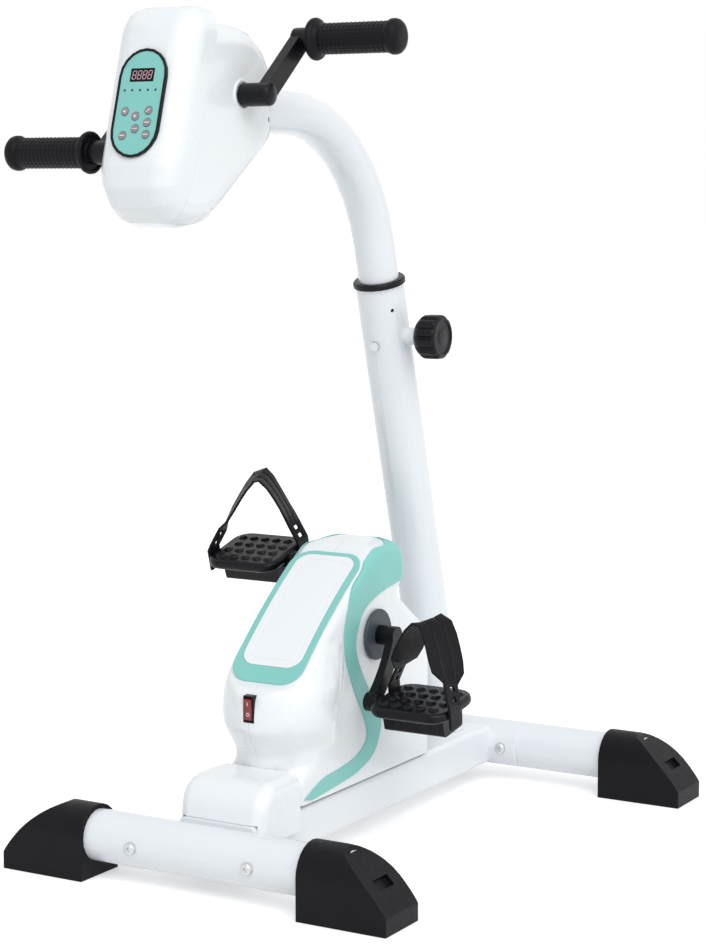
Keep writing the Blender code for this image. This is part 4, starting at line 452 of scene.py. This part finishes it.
def bar_outline(u, v, length, width):
    return [(u - length / 2, v - width / 2), (u + length / 2, v - width / 2),
            (u + length / 2, v + width / 2), (u - length / 2, v + width / 2)]


# Smooth solids


def held(name, mesh, material):
    """An object of a built mesh, welded and facing outwards."""
    bmesh.ops.remove_doubles(mesh, verts=mesh.verts, dist=MERGE)
    bmesh.ops.recalc_face_normals(mesh, faces=mesh.faces)
    data = bpy.data.meshes.new(name)
    mesh.to_mesh(data)
    mesh.free()
    data.materials.append(material)
    piece = bpy.data.objects.new(name, data)
    bpy.context.scene.collection.objects.link(piece)
    return piece


def through(name, rings, material):
    """A closed solid through rings of equal count."""
    mesh = bmesh.new()
    loops = [[mesh.verts.new(point) for point in ring] for ring in rings]
    count = len(loops[0])
    for low, high in zip(loops[:-1], loops[1:]):
        for k in range(count):
            following = (k + 1) % count
            mesh.faces.new((low[k], low[following], high[following], high[k]))
    mesh.faces.new(list(reversed(loops[0])))
    mesh.faces.new(loops[-1])
    return held(name, mesh, material)


def carried(name, outline, x0, x1, material):
    """A solid with a side outline of (y, z) points, from x0 to x1."""
    return through(name, [[(x, y, z) for y, z in outline] for x in (x0, x1)], material)


def plate(name, corners, levels, material):
    """A flat plate through (height, inset) levels of its outline."""
    return through(name, [[(x, y, z) for x, y in filleted(corners, inset)] for z, inset in levels], material)


def merged(piece, other, operation):
    """Boolean of piece with other, which is used up."""
    step = piece.modifiers.new("step", "BOOLEAN")
    step.operation = operation
    step.solver = "EXACT"
    step.object = other
    bpy.context.view_layer.update()
    data = bpy.data.meshes.new_from_object(piece.evaluated_get(bpy.context.evaluated_depsgraph_get()))
    piece.modifiers.clear()
    piece.data = data
    bpy.data.objects.remove(other)
    mesh = bmesh.new()
    mesh.from_mesh(data)
    bmesh.ops.remove_doubles(mesh, verts=mesh.verts, dist=MERGE)
    bmesh.ops.dissolve_degenerate(mesh, dist=MERGE, edges=mesh.edges)
    mesh.to_mesh(data)
    mesh.free()
    return piece


def block(low, high, material):
    rings = [[(low[0], low[1], z), (high[0], low[1], z), (high[0], high[1], z), (low[0], high[1], z)]
             for z in (low[2], high[2])]
    return through("block", rings, material)


def filleted(corners, inset):
    """Outline with round turns at (a, b, radius) corners, drawn in by inset."""
    points = []
    count = len(corners)
    for k in range(count):
        here = Vector(corners[k][:2])
        radius = corners[k][2]
        before = (here - Vector(corners[k - 1][:2])).normalized()
        after = (Vector(corners[(k + 1) % count][:2]) - here).normalized()
        turn = math.atan2(before.x * after.y - before.y * after.x, before.dot(after))
        side = 1.0 if turn >= 0.0 else -1.0
        inward = Vector((-before.y, before.x))
        centre = here - before * radius * math.tan(abs(turn) / 2.0) + inward * radius * side
        bisector = (inward + Vector((-after.y, after.x))).normalized()
        tip = here + bisector * inset / math.cos(turn / 2.0)
        if radius == 0.0:
            points.append(tip)
        elif side > 0.0 and inset >= radius:
            points += [tip] * (FILLET_STEPS + 1)
        else:
            for j in range(FILLET_STEPS + 1):
                spoke = Matrix.Rotation(turn * j / FILLET_STEPS, 2) @ (-inward * side)
                points.append(centre + spoke * (radius - inset * side))
    return [(p.x, p.y) for p in points]


def on_arch(distance, lift=0.0):
    slope = DECK_SLOPE - distance / DECK_ARCH_RADIUS
    reach = DECK_ARCH_RADIUS + lift
    y = DECK_Y + DECK_ARCH_RADIUS * math.sin(DECK_SLOPE) - reach * math.sin(slope)
    z = DECK_Z - DECK_ARCH_RADIUS * math.cos(DECK_SLOPE) + reach * math.cos(slope)
    return y, z, slope


def housing_corners():
    """The (y, z, radius) corners of the housing's side outline."""
    high_y, high_z, high_slope = on_arch(DECK_ARCH_REACH)
    crest_y = high_y + (HOUSING_TOP - high_z) / math.tan(high_slope)
    span = DECK_ARCH_REACH + DECK_FOOT
    arch = [(*on_arch(DECK_ARCH_REACH - span * k / ARCH_STEPS)[:2], 0.0) for k in range(ARCH_STEPS + 1)]
    return [
        (NECK_Y, HOUSING_BOTTOM, 0.0),
        (HOUSING_BACK_Y, HOUSING_BOTTOM, 0.0),
        BACK_TURN,
        BACK_NOTCH,
        CROWN_FOOT,
        (HOUSING_TOP_BACK_Y, HOUSING_TOP, CROWN_BACK_ROUND),
        (crest_y, HOUSING_TOP, CROWN_FRONT_ROUND),
        *arch,
        CHEST_TOP,
        BULB_TOP,
        (BULB_Y, BULB_CREASE, BULB_ROUND),
        (NECK_Y, BULB_BOTTOM, BULB_ROUND),
    ]


def housing_solid(name, inset, material):
    """The housing's form, rounded along its side outline, round its front and over its top."""
    corners = [(y, z if z > HOUSING_BOTTOM else z - SKIRT, radius) for y, z, radius in housing_corners()]
    rings = []
    reach = HOUSING_EDGE - inset
    turns = [math.pi / 2.0 * k / EDGE_STEPS for k in range(EDGE_STEPS + 1)]
    for angle in reversed(turns):
        x = -HOUSING_HALF + inset + reach * (1.0 - math.sin(angle))
        rings.append((x, inset + reach * (1.0 - math.cos(angle))))
    rings += [(-x, draw) for x, draw in reversed(rings)]
    rings = [[(x, y, z) for y, z in filleted(corners, draw)] for x, draw in sorted(rings)]
    body = through(name, rings, material)
    square, neck, bulb = (NECK_Y, 0.002), (NECK_Y, NECK_DEPTH), (BULB_Y, BULB_DEPTH)
    levels = (
        (0.0, square, 0.0),
        (LEDGE_Z - inset, square, 0.0),
        (NOSE_TOP - inset, neck, 0.0),
        (BULB_BOTTOM + inset, neck, LIP_LIFT),
        (BULB_CREASE + inset, bulb, 0.0),
        (HOUSING_TOP + BEYOND, bulb, 0.0),
    )
    rings = []
    half, back = HOUSING_HALF + GAP - inset, HOUSING_BACK_Y + BEYOND
    for level, (front, depth), lift in levels:
        ring = []
        for k in range(MOULD_STEPS + 1):
            angle = math.pi * (k / MOULD_STEPS - 0.5)
            y = front + inset - GAP + depth * (1.0 - math.cos(angle))
            ring.append((half * math.sin(angle), y, level + lift * math.sin(angle) ** 6))
        rings.append(ring + [(half, back, level), (-half, back, level)])
    merged(body, through("front", rings, material), "INTERSECT")
    outline = [(-CROWN_HALF, 0.0), (CROWN_HALF, 0.0)]
    for k in range(MOULD_STEPS + 1):
        angle = math.pi * (0.5 - k / MOULD_STEPS)
        z = HOUSING_TOP + GAP - inset - CROWN_DEPTH * (1.0 - math.cos(angle))
        outline.append(((CROWN_HALF - inset) * math.sin(angle), z))
    rings = [[(x, y, z) for x, z in outline] for y in (FRONT_Y, HOUSING_BACK_Y + BEYOND)]
    merged(body, through("crown", rings, material), "INTERSECT")
    rings = [oval(LIP_HALF, LIP_DEPTH, NECK_Y, BULB_BOTTOM, inset, LIP_LIFT)]
    for level, half, recess in BULB_LEVELS:
        rings.append(oval(half, BULB_DEPTH, BULB_Y + recess, level + inset, inset, 0.0))
    bulb = through("bulb", rings, material)
    merged(bulb, carried("outline", filleted(corners, inset), -BEYOND, BEYOND, material), "INTERSECT")
    return blended(merged(body, bulb, "UNION"))


def oval(half, depth, front, level, inset, lift):
    """A level ring of the bulb, round from side to side and from front to back."""
    ring = []
    for k in range(2 * MOULD_STEPS):
        angle = math.pi * k / MOULD_STEPS
        x = (half - inset) * math.sin(angle)
        y = front + depth - (depth - inset) * math.cos(angle)
        ring.append((x, y, level + lift * math.sin(angle) ** 6))
    return ring


def blended(body):
    """Runs the faces of a solid into each other, as a moulding's do."""
    grid = body.modifiers.new("grid", "REMESH")
    grid.mode = "VOXEL"
    grid.voxel_size = GRID
    flow = body.modifiers.new("flow", "SMOOTH")
    flow.factor = 0.5
    flow.iterations = FLOW_STEPS
    bpy.context.view_layer.update()
    body.data = bpy.data.meshes.new_from_object(body.evaluated_get(bpy.context.evaluated_depsgraph_get()))
    body.modifiers.clear()
    return body


def smooth_housing():
    """The two shells, with the openings for the switch, the inlet and the foot axle."""
    white = FINISH["white_plastic"]
    shell = housing_solid("housing", 0.0, white)
    merged(shell, housing_solid("inside", HOUSING_WALL, white), "DIFFERENCE")
    reach = BEYOND * 5.0
    below = block((-reach, -reach, -reach), (reach, reach, HOUSING_BOTTOM + MERGE * 100), white)
    merged(shell, below, "DIFFERENCE")
    switch = (SWITCH_PLACE, SWITCH_HALF, SWITCH_DEPTH)
    inlet = (INLET_PLACE, INLET_HALF, INLET_DEPTH)
    for (y, z), (half_x, half_z), depth in (switch, inlet):
        opening = block((-half_x, y - depth, z - half_z), (half_x, y + CUT_OUT, z + half_z), white)
        merged(shell, opening, "DIFFERENCE")
    for side, name in ((-1.0, "housing_left"), (1.0, "housing_right")):
        half = bpy.data.objects.new(name + "_skin", shell.data.copy())
        bpy.context.scene.collection.objects.link(half)
        x0, x1 = sorted((-reach * side, GAP / 2.0 * side))
        merged(half, block((x0, -reach, -reach), (x1, reach, reach), white), "DIFFERENCE")
        x0, x1 = sorted((0.0, BEYOND * side))
        merged(half, carried("rod", disc(*CRANK_PLACE, CRANK_HOLE, CRANK_STEPS), x0, x1, white), "DIFFERENCE")
        softened(half, SHELL_EDGE)
        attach(half, "base")
        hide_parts(name)
    bpy.data.objects.remove(shell)


def smooth_trim():
    """The coloured trim, a thin skin over the housing inside the swoosh's outline."""
    aqua = FINISH["aqua_plastic"]
    trim = housing_solid("swoosh_skin", -GAP - TRIM_THICKNESS, aqua)
    merged(trim, housing_solid("inside", -GAP, aqua), "DIFFERENCE")
    merged(trim, carried("band", swoosh_outline(), -BEYOND, BEYOND, aqua), "INTERSECT")
    corners = [
        (-TRIM_CLEARING, FRONT_Y, 0.0),
        (TRIM_CLEARING, FRONT_Y, 0.0),
        (TRIM_CLEARING, TRIM_CLEARING_Y, TRIM_CLEARING_ROUND),
        (-TRIM_CLEARING, TRIM_CLEARING_Y, TRIM_CLEARING_ROUND),
    ]
    merged(trim, plate("clearing", corners, TRIM_CLEARING_LEVELS, aqua), "DIFFERENCE")
    softened(trim, PLATE_EDGE)
    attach(trim, "base")
    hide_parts("swoosh_trim")


def beam_end():
    """Closes the hollow beam above the front bar, as its weld does."""
    plug = block(BEAM_END_LOW, BEAM_END_HIGH, FINISH["white_paint"])
    plug.name = plug.data.name = "beam_end"
    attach(plug, "base")


def eased(share):
    share = min(1.0, max(0.0, share))
    return share * share * (3.0 - 2.0 * share)


def sliced(mesh, levels, normal):
    """Cuts a mesh's faces at the levels along a normal, so that it can bend there."""
    for level in levels:
        parts = mesh.verts[:] + mesh.edges[:] + mesh.faces[:]
        place = Vector(normal) * level
        bmesh.ops.bisect_plane(mesh, geom=parts, dist=MERGE, plane_co=place, plane_no=normal)


def slim_chin():
    """The head's pieces with the front of their sides drawn in towards the chin."""
    height, depth = CHIN_TOP - CHIN_BOTTOM, CHIN_BACK - CHIN_FRONT
    levels = [CHIN_BOTTOM + height * k / CHIN_CUTS for k in range(1, CHIN_CUTS + 1)]
    flat = math.radians(FLAT_ANGLE)
    for node in ("head_fascia", "head_shell_left", "head_shell_right"):
        mesh = bmesh.new()
        mesh.from_mesh(NODES[node].data)
        mesh.transform(NODES[node].matrix_world)
        bmesh.ops.remove_doubles(mesh, verts=mesh.verts, dist=SPLIT)
        bmesh.ops.dissolve_limit(mesh, angle_limit=flat, verts=mesh.verts, edges=mesh.edges)
        sliced(mesh, levels, (0.0, 0.0, 1.0))
        for vert in mesh.verts:
            down = eased((CHIN_TOP - vert.co.z) / height)
            forward = eased((CHIN_BACK - vert.co.y) / depth)
            vert.co.x *= 1.0 - CHIN_DRAW * down * forward
        skin = held(node + "_skin", mesh, FINISH["white_plastic"])
        softened(skin, EDGE_WIDTHS["white_plastic"])
        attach(skin, "column")
        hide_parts(node)


def rectangle(width, length, corner, shift=0.0):
    a, b = width / 2.0, length / 2.0
    return [(a, shift - b, corner), (a, shift + b, corner), (-a, shift + b, corner), (-a, shift - b, corner)]


def over_deck(piece, node):
    """Bends a plate over the deck's arch and puts it in its node's place."""
    mesh = bmesh.new()
    mesh.from_mesh(piece.data)
    sliced(mesh, [DECK_FRAME[1] * (k / ARCH_STEPS - 0.5) for k in range(1, ARCH_STEPS)], (0.0, 1.0, 0.0))
    for vert in mesh.verts:
        y, z = on_arch(vert.co.y, GAP + vert.co.z)[:2]
        vert.co = (vert.co.x, y, z)
    mesh.to_mesh(piece.data)
    mesh.free()
    softened(piece, PLATE_EDGE)
    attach(piece, "base")
    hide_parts(node)


def smooth_deck():
    """The frame on the housing's slope and the panel inside it with its groove."""
    aqua, white = FINISH["aqua_plastic"], FINISH["white_plastic"]
    border = plate("deck_ring", rectangle(*DECK_FRAME), DECK_FRAME_LEVELS, aqua)
    window = rectangle(*DECK_WINDOW)
    merged(border, plate("window", window, ((-OVER, -GAP), (OVER, -GAP)), aqua), "DIFFERENCE")
    over_deck(border, "deck_frame")
    panel = plate("deck_plate", window, DECK_PANEL_LEVELS, white)
    groove = plate("groove", window, ((DECK_GROOVE_FLOOR, DECK_GROOVE), (OVER, DECK_GROOVE)), white)
    inner = DECK_GROOVE + DECK_GROOVE_WIDTH
    island = plate("island", window, ((0.0, inner), (OVER * 2.0, inner)), white)
    merged(groove, island, "DIFFERENCE")
    merged(panel, groove, "DIFFERENCE")
    over_deck(panel, "deck_panel")


def spun(name, profile, centre, side, segments, material, swell=None):
    """A solid turned about an axis along X from a closed run of (radius, distance, texture) points."""
    mesh = bmesh.new()
    rings = []
    for radius, distance, texture in profile:
        ring = []
        for k in range(segments):
            angle = 2.0 * math.pi * k / segments
            reach = radius + (swell(angle) * texture if swell else 0.0)
            y = centre[0] + reach * math.cos(angle)
            z = centre[1] + reach * math.sin(angle)
            ring.append(mesh.verts.new((side * distance, y, z)))
        rings.append(ring)
    for low, high in zip(rings, rings[1:] + rings[:1]):
        for k in range(segments):
            following = (k + 1) % segments
            mesh.faces.new((low[k], low[following], high[following], high[k]))
    return held(name, mesh, material)


def middle_of(node):
    low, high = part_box(node)
    return (low[1] + high[1]) / 2.0, (low[2] + high[2]) / 2.0


def grip_stud(angle):
    """How far the studs stand out at an angle round the grip."""
    return GRIP_STUD_HEIGHT * max(0.0, math.cos(angle * GRIP_STUDS))


def knob_lobe(angle):
    """How far the hollows between the lobes go in at an angle round the knob."""
    return -KNOB_LOBE_DEPTH * abs(math.cos(angle * KNOB_LOBES / 2.0)) ** 6


def smooth_grips():
    """Grips with studded ribs, a wide inner flange and a domed end."""
    rubber = FINISH["black_rubber"]
    start, end, bore = GRIP_START, GRIP_END, GRIP_BORE
    profile = [
        (bore, start, 0.0), (bore + 0.006, start, 0.0), (bore + 0.0065, start + 0.0006, 0.0),
        (bore + 0.0070, start + 0.0022, 0.0), (GRIP_FLANGE - 0.0045, start + 0.0022, 0.0),
        (GRIP_FLANGE - 0.0035, start + 0.0003, 0.0), (GRIP_FLANGE - 0.0015, start + 0.0003, 0.0),
        (GRIP_FLANGE - 0.0003, start + 0.0016, 0.0), (GRIP_FLANGE, start + 0.0040, 0.0),
        (GRIP_FLANGE - 0.0008, start + 0.0062, 0.0), (GRIP_FLANGE - 0.0034, start + 0.0082, 0.0),
        (GRIP_RADIUS + 0.0012, start + 0.0100, 0.0), (GRIP_RADIUS, start + 0.0125, 0.0),
    ]
    first, last = start + 0.014, end - 0.017
    pitch = (last - first) / GRIP_RIBS
    for k in range(GRIP_RIBS):
        low = first + k * pitch
        profile += [
            (GRIP_RADIUS, low, 0.0), (GRIP_RADIUS + 0.0002, low + pitch * 0.2, 0.3),
            (GRIP_RADIUS + 0.0004, low + pitch * 0.4, 1.0),
            (GRIP_RADIUS + 0.0004, low + pitch * 0.6, 1.0),
            (GRIP_RADIUS + 0.0002, low + pitch * 0.8, 0.3),
        ]
    profile += [
        (GRIP_RADIUS, last, 0.0), (GRIP_RADIUS + 0.0020, end - 0.0145, 0.0), (GRIP_FLARE, end - 0.0115, 0.0),
        (GRIP_FLARE, end - 0.0080, 0.0), (GRIP_FLARE - 0.0008, end - 0.0050, 0.0),
        (GRIP_FLARE - 0.0030, end - 0.0024, 0.0), (GRIP_FLARE - 0.0070, end - 0.0006, 0.0),
        (GRIP_FLARE - 0.0110, end, 0.0), (0.0, end, 0.0),
        (0.0, end - 0.0077, 0.0), (bore, end - 0.0077, 0.0),
    ]
    for side, node, body in ((-1.0, "grip_left", "left_grip"), (1.0, "grip_right", "right_grip")):
        grip = spun(node + "_skin", profile, middle_of(node), side, GRIP_STUDS * 6, rubber, grip_stud)
        softened(grip, TURNED_EDGE, TURNED_ANGLE)
        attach(grip, body)
        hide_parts(node)


def boss_rings():
    """The pale ring round the hand crank's boss, on each side of the head."""
    inner, outer, start, end = BOSS_RING
    profile = [
        (inner, start, 0.0), (outer, start, 0.0), (outer, end - 0.0008, 0.0),
        (outer - 0.0003, end - 0.0002, 0.0), (outer - 0.0009, end, 0.0),
        (inner + 0.0005, end, 0.0), (inner, end - 0.0004, 0.0),
    ]
    for side, name in ((-1.0, "boss_ring_left"), (1.0, "boss_ring_right")):
        collar = spun(name, profile, middle_of("hand_axle"), side, RING_STEPS, FINISH["white_plastic"])
        softened(collar, BOSS_EDGE, TURNED_ANGLE)
        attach(collar, "column")


def boss_domes():
    """The domed outer end of the hand crank's boss, on each side."""
    radius, start, rise = BOSS_DOME
    foot = start + DOME_FOOT
    profile = [(0.0, start, 0.0), (radius, start, 0.0)]
    for k in range(DOME_STEPS):
        turn = math.pi / 2.0 * k / DOME_STEPS
        profile.append((radius * math.cos(turn), foot + rise * math.sin(turn), 0.0))
    profile.append((0.0, foot + rise, 0.0))
    for side, name in ((-1.0, "boss_dome_left"), (1.0, "boss_dome_right")):
        dome = spun(name, profile, middle_of("hand_axle"), side, DOME_SIDES, FINISH["black_plastic"])
        softened(dome, BOSS_EDGE, TURNED_ANGLE)
        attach(dome, "hand_crank")


def smooth_knob():
    """The knob with round lobes and a plain dished face."""
    start, end, radius = KNOB_START, KNOB_END, KNOB_RADIUS
    profile = [
        (KNOB_BORE, start, 0.0), (radius * 0.70, start, 0.0), (radius * 0.80, start + 0.0010, 0.0),
        (radius * 0.93, start + 0.0050, 0.3), (radius * 0.985, start + 0.0075, 0.8),
        (radius, start + 0.0110, 1.0), (radius, end - 0.0060, 1.0),
        (radius * 0.985, end - 0.0035, 0.8), (radius * 0.94, end - 0.0014, 0.4),
        (radius * 0.88, end - 0.0004, 0.0), (radius * 0.80, end, 0.0),
        (radius * 0.76, end - 0.0003, 0.0), (radius * 0.74, end - 0.0018, 0.0),
        (radius * 0.40, end - 0.0018, 0.0), (radius * 0.37, end - 0.0012, 0.0),
        (radius * 0.20, end - 0.0010, 0.0), (0.0, end - 0.0010, 0.0),
        (0.0, end - 0.0090, 0.0), (KNOB_BORE, end - 0.0090, 0.0),
    ]
    centre, plastic = middle_of("adjust_knob"), FINISH["black_plastic"]
    knob = spun("knob_skin", profile, centre, 1.0, KNOB_LOBES * 16, plastic, knob_lobe)
    softened(knob, TURNED_EDGE, TURNED_ANGLE)
    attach(knob, "knob")
    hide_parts("adjust_knob")


def lying(nodes, place, across, up, out, reach):
    """Middle, up and out of the surface round a place, from the heights just above and below it."""
    low, high = place - up * reach, place + up * reach
    low = low + out * height_over(nodes, low, out)
    high = high + out * height_over(nodes, high, out)
    rise = (high - low).normalized()
    face = across.cross(rise)
    return (low + high) / 2.0, rise, face if face.dot(out) > 0.0 else -face


def ring(outer, inner, count=24):
    """Short arcs that make up a ring."""
    arcs = []
    for k in range(count):
        start, end = 2.0 * math.pi * k / count, 2.0 * math.pi * (k + ARC_SHARE) / count
        corners = ((outer, start), (outer, end), (inner, end), (inner, start))
        arcs.append([(reach * math.cos(angle), reach * math.sin(angle)) for reach, angle in corners])
    return arcs


KEY_MARKS = {
    "key_1": [[(-0.0021, 0.0), (0.0013, -0.0018), (0.0013, 0.0018)]],
    "key_2": [disc(0.0, 0.0, 0.0014)],
    "key_3": [[(-0.0022, -0.0014), (-0.0014, -0.0020), (0.0022, 0.0014), (0.0014, 0.0020)]],
    "key_4": [bar_outline(0.0, 0.0, 0.0068, KEY_STROKE)],
    "key_5": [bar_outline(shift, 0.0, 0.0016, KEY_STROKE) for shift in (-0.0022, 0.0, 0.0022)],
    "key_6": [bar_outline(0.0, 0.0, 0.0060, KEY_STROKE)],
    "key_7": [bar_outline(0.0, 0.0, 0.0060, KEY_STROKE)],
}
BODIES = {node: body for body, nodes in frame["record"]["behaviour"]["bodies"].items() for node in nodes}


def key_prints():
    for node, outlines in KEY_MARKS.items():
        low, high = (Vector(corner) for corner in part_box(node))
        place = (low + high) / 2.0
        place = place + PANEL_OUT * height_over([node], place, PANEL_OUT)
        flat_piece(node + "_mark", outlines, place, PANEL_AXES, MARK_PROUD, MARK_WHITE, BODIES[node])


def switch_prints():
    across, up, out = Vector((1.0, 0.0, 0.0)), Vector((0.0, 0.0, 1.0)), Vector((0.0, -1.0, 0.0))
    low, high = (Vector(corner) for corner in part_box("switch_rocker"))
    middle = (low + high) / 2.0
    for name, shift, outlines in (
        ("on", ROCKER_SHIFT, [bar_outline(0.0, 0.0, *ROCKER_BAR)]),
        ("off", -ROCKER_SHIFT, ring(*ROCKER_RING)),
    ):
        place, rise, face = lying(["switch_rocker"], middle + up * shift, across, up, out, ROCKER_FEEL)
        flat_piece("switch_" + name, outlines, place, (across, rise, face), MARK_PROUD, MARK_WHITE, "rocker")


def curved(points, steps):
    """Points on a smooth curve through the given ones."""
    result = []
    points = (points[0], *points, points[-1])
    for k in range(1, len(points) - 2):
        a, b, c, d = (Vector(p) for p in points[k - 1:k + 3])
        for j in range(steps):
            t = j / steps
            result.append(0.5 * (2 * b + (c - a) * t + (2 * a - 5 * b + 4 * c - d) * t * t
                                 + (3 * b - a - 3 * c + d) * t ** 3))
    result.append(Vector(points[-2]))
    return [(p.x, p.y) for p in result]


def swoosh_outline():
    chain = [SWOOSH_CORNER] + curved(SWOOSH_OUTER, SWOOSH_STEPS) + curved(SWOOSH_INNER, SWOOSH_STEPS)
    return [(FRONT_Y + y, z) for y, z in chain]


def flat_piece(name, outlines, place, axes, thick, material, body):
    """A thin raised print of closed outlines; the axes point across, up and out of its face."""
    across, up, out = axes
    mesh = bmesh.new()
    for outline in outlines:
        low = [mesh.verts.new(place + across * u + up * v) for u, v in outline]
        high = [mesh.verts.new(place + across * u + up * v + out * thick) for u, v in outline]
        mesh.faces.new(high)
        mesh.faces.new(list(reversed(low)))
        for k in range(len(outline)):
            following = (k + 1) % len(outline)
            mesh.faces.new((low[k], low[following], high[following], high[k]))
    piece = held(name, mesh, material)
    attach(piece, body)


def height_over(nodes, place, out):
    """How far along out from place the outermost surface of the nodes lies."""
    best = None
    for name in nodes:
        mesh = bmesh.new()
        mesh.from_mesh(NODES[name].data)
        tree = BVHTree.FromBMesh(mesh)
        mesh.free()
        hit = tree.ray_cast(place + out * 0.05, -out, 0.1)
        if hit[0] is not None:
            height = (hit[0] - place).dot(out)
            best = height if best is None else max(best, height)
    return best


def segment(first, second, stroke):
    """A six-cornered display segment between two points."""
    a, b = Vector(first), Vector(second)
    along = (b - a).normalized()
    side = Vector((-along.y, along.x)) * stroke / 2.0
    a = a + along * stroke * 0.25
    b = b - along * stroke * 0.25
    tip = along * stroke / 2.0
    return [tuple(p) for p in (a, a + tip + side, b - tip + side, b, b - tip - side, a + tip - side)]


def console_prints():
    u0, v0 = DISPLAY_PLACE
    glass = PANEL_PLACE + PANEL_ACROSS * u0 + PANEL_UP * v0
    lift = height_over(["display_window"], glass, PANEL_OUT)
    place = PANEL_PLACE + PANEL_OUT * lift
    half, rows = DIGIT_WIDTH / 2.0, DIGIT_HEIGHT / 2.0
    strokes = (
        ((-half, rows), (half, rows)), ((-half, 0.0), (half, 0.0)), ((-half, -rows), (half, -rows)),
        ((-half, 0.0), (-half, rows)), ((half, 0.0), (half, rows)),
        ((-half, -rows), (-half, 0.0)), ((half, -rows), (half, 0.0)),
    )
    outlines = []
    for k in range(DIGIT_COUNT):
        centre = u0 + (k - (DIGIT_COUNT - 1) / 2.0) * DIGIT_PITCH
        for a, b in strokes:
            outline = segment(a, b, DIGIT_STROKE)
            outlines.append([(centre + x + y * DIGIT_SLANT, v0 + y) for x, y in outline])
    flat_piece("display_digits", outlines, place, PANEL_AXES, MARK_PROUD, DIGIT_GLOW, "column")
    spot = PANEL_PLACE + PANEL_UP * LAMP_HEIGHT
    lift = height_over(["console_panel"], spot, PANEL_OUT)
    place = PANEL_PLACE + PANEL_OUT * lift
    lamps = [disc(x, LAMP_HEIGHT, LAMP_RADIUS) for x in LAMP_PLACES]
    flat_piece("console_lamps", lamps, place, PANEL_AXES, LAMP_PROUD, LAMP_DARK, "column")


# Surroundings


def node_of(nodes, kind, **inputs):
    """A shader node with values for some of its inputs."""
    node = nodes.new("ShaderNode" + kind)
    for name, value in inputs.items():
        node.inputs[name].default_value = value
    return node


def any_ray(nodes, links, *rays):
    """A value that is 1 for the rays that are named and 0 for the others."""
    path = nodes.new("ShaderNodeLightPath")
    value = path.outputs[rays[0]]
    for ray in rays[1:]:
        either = nodes.new("ShaderNodeMath")
        either.operation = "MAXIMUM"
        links.new(value, either.inputs[0])
        links.new(path.outputs[ray], either.inputs[1])
        value = either.outputs[0]
    return value


def mixed(nodes, links, share, first, second):
    """The first shader where share is 0 and the second where it is 1."""
    mix = nodes.new("ShaderNodeMixShader")
    links.new(share, mix.inputs[0])
    links.new(first.outputs[0], mix.inputs[1])
    links.new(second.outputs[0], mix.inputs[2])
    return mix


def studio():
    """A white surround, dimmer as a light than as a sight, and two wide suns."""
    scene = bpy.context.scene
    scene.view_settings.view_transform = "Standard"
    world = bpy.data.worlds.new("studio")
    scene.world = world
    world.use_nodes = True
    nodes, links = world.node_tree.nodes, world.node_tree.links
    nodes.clear()
    looking = any_ray(nodes, links, "Is Camera Ray", "Is Glossy Ray", "Is Transmission Ray")
    lit = node_of(nodes, "Background", Color=WORLD_COLOUR, Strength=WORLD_STRENGTH)
    seen = node_of(nodes, "Background", Color=WHITE)
    output = nodes.new("ShaderNodeOutputWorld")
    links.new(mixed(nodes, links, looking, lit, seen).outputs[0], output.inputs["Surface"])
    for name, turn, strength, width in SUNS:
        lamp = bpy.data.lights.new(name, "SUN")
        lamp.energy = strength
        lamp.angle = math.radians(width)
        holder = bpy.data.objects.new(name, lamp)
        holder.rotation_euler = [math.radians(angle) for angle in turn]
        scene.collection.objects.link(holder)


def floor():
    """A pale floor that looks brighter than the light that it gives back to the object."""
    mesh = bmesh.new()
    bmesh.ops.create_grid(mesh, x_segments=1, y_segments=1, size=FLOOR_REACH)
    data = bpy.data.meshes.new("floor")
    mesh.to_mesh(data)
    mesh.free()
    piece = bpy.data.objects.new("floor", data)
    piece.location.z = -FLOOR_DROP
    bpy.context.scene.collection.objects.link(piece)
    material = bpy.data.materials.new("floor")
    material.use_nodes = True
    nodes, links = material.node_tree.nodes, material.node_tree.links
    nodes.clear()
    looking = any_ray(nodes, links, "Is Camera Ray", "Is Glossy Ray")
    none = node_of(nodes, "Emission", Strength=0.0)
    glow = node_of(nodes, "Emission", Strength=FLOOR_GLOW)
    both = nodes.new("ShaderNodeAddShader")
    links.new(node_of(nodes, "BsdfDiffuse", Color=FLOOR_COLOUR).outputs[0], both.inputs[0])
    links.new(mixed(nodes, links, looking, none, glow).outputs[0], both.inputs[1])
    output = nodes.new("ShaderNodeOutputMaterial")
    links.new(both.outputs[0], output.inputs["Surface"])
    data.materials.append(material)


look_at_photo()
studio()
floor()
dress_nodes()
smooth_housing()
smooth_trim()
beam_end()
smooth_deck()
slim_chin()
smooth_grips()
boss_rings()
boss_domes()
smooth_knob()
console_prints()
key_prints()
switch_prints()
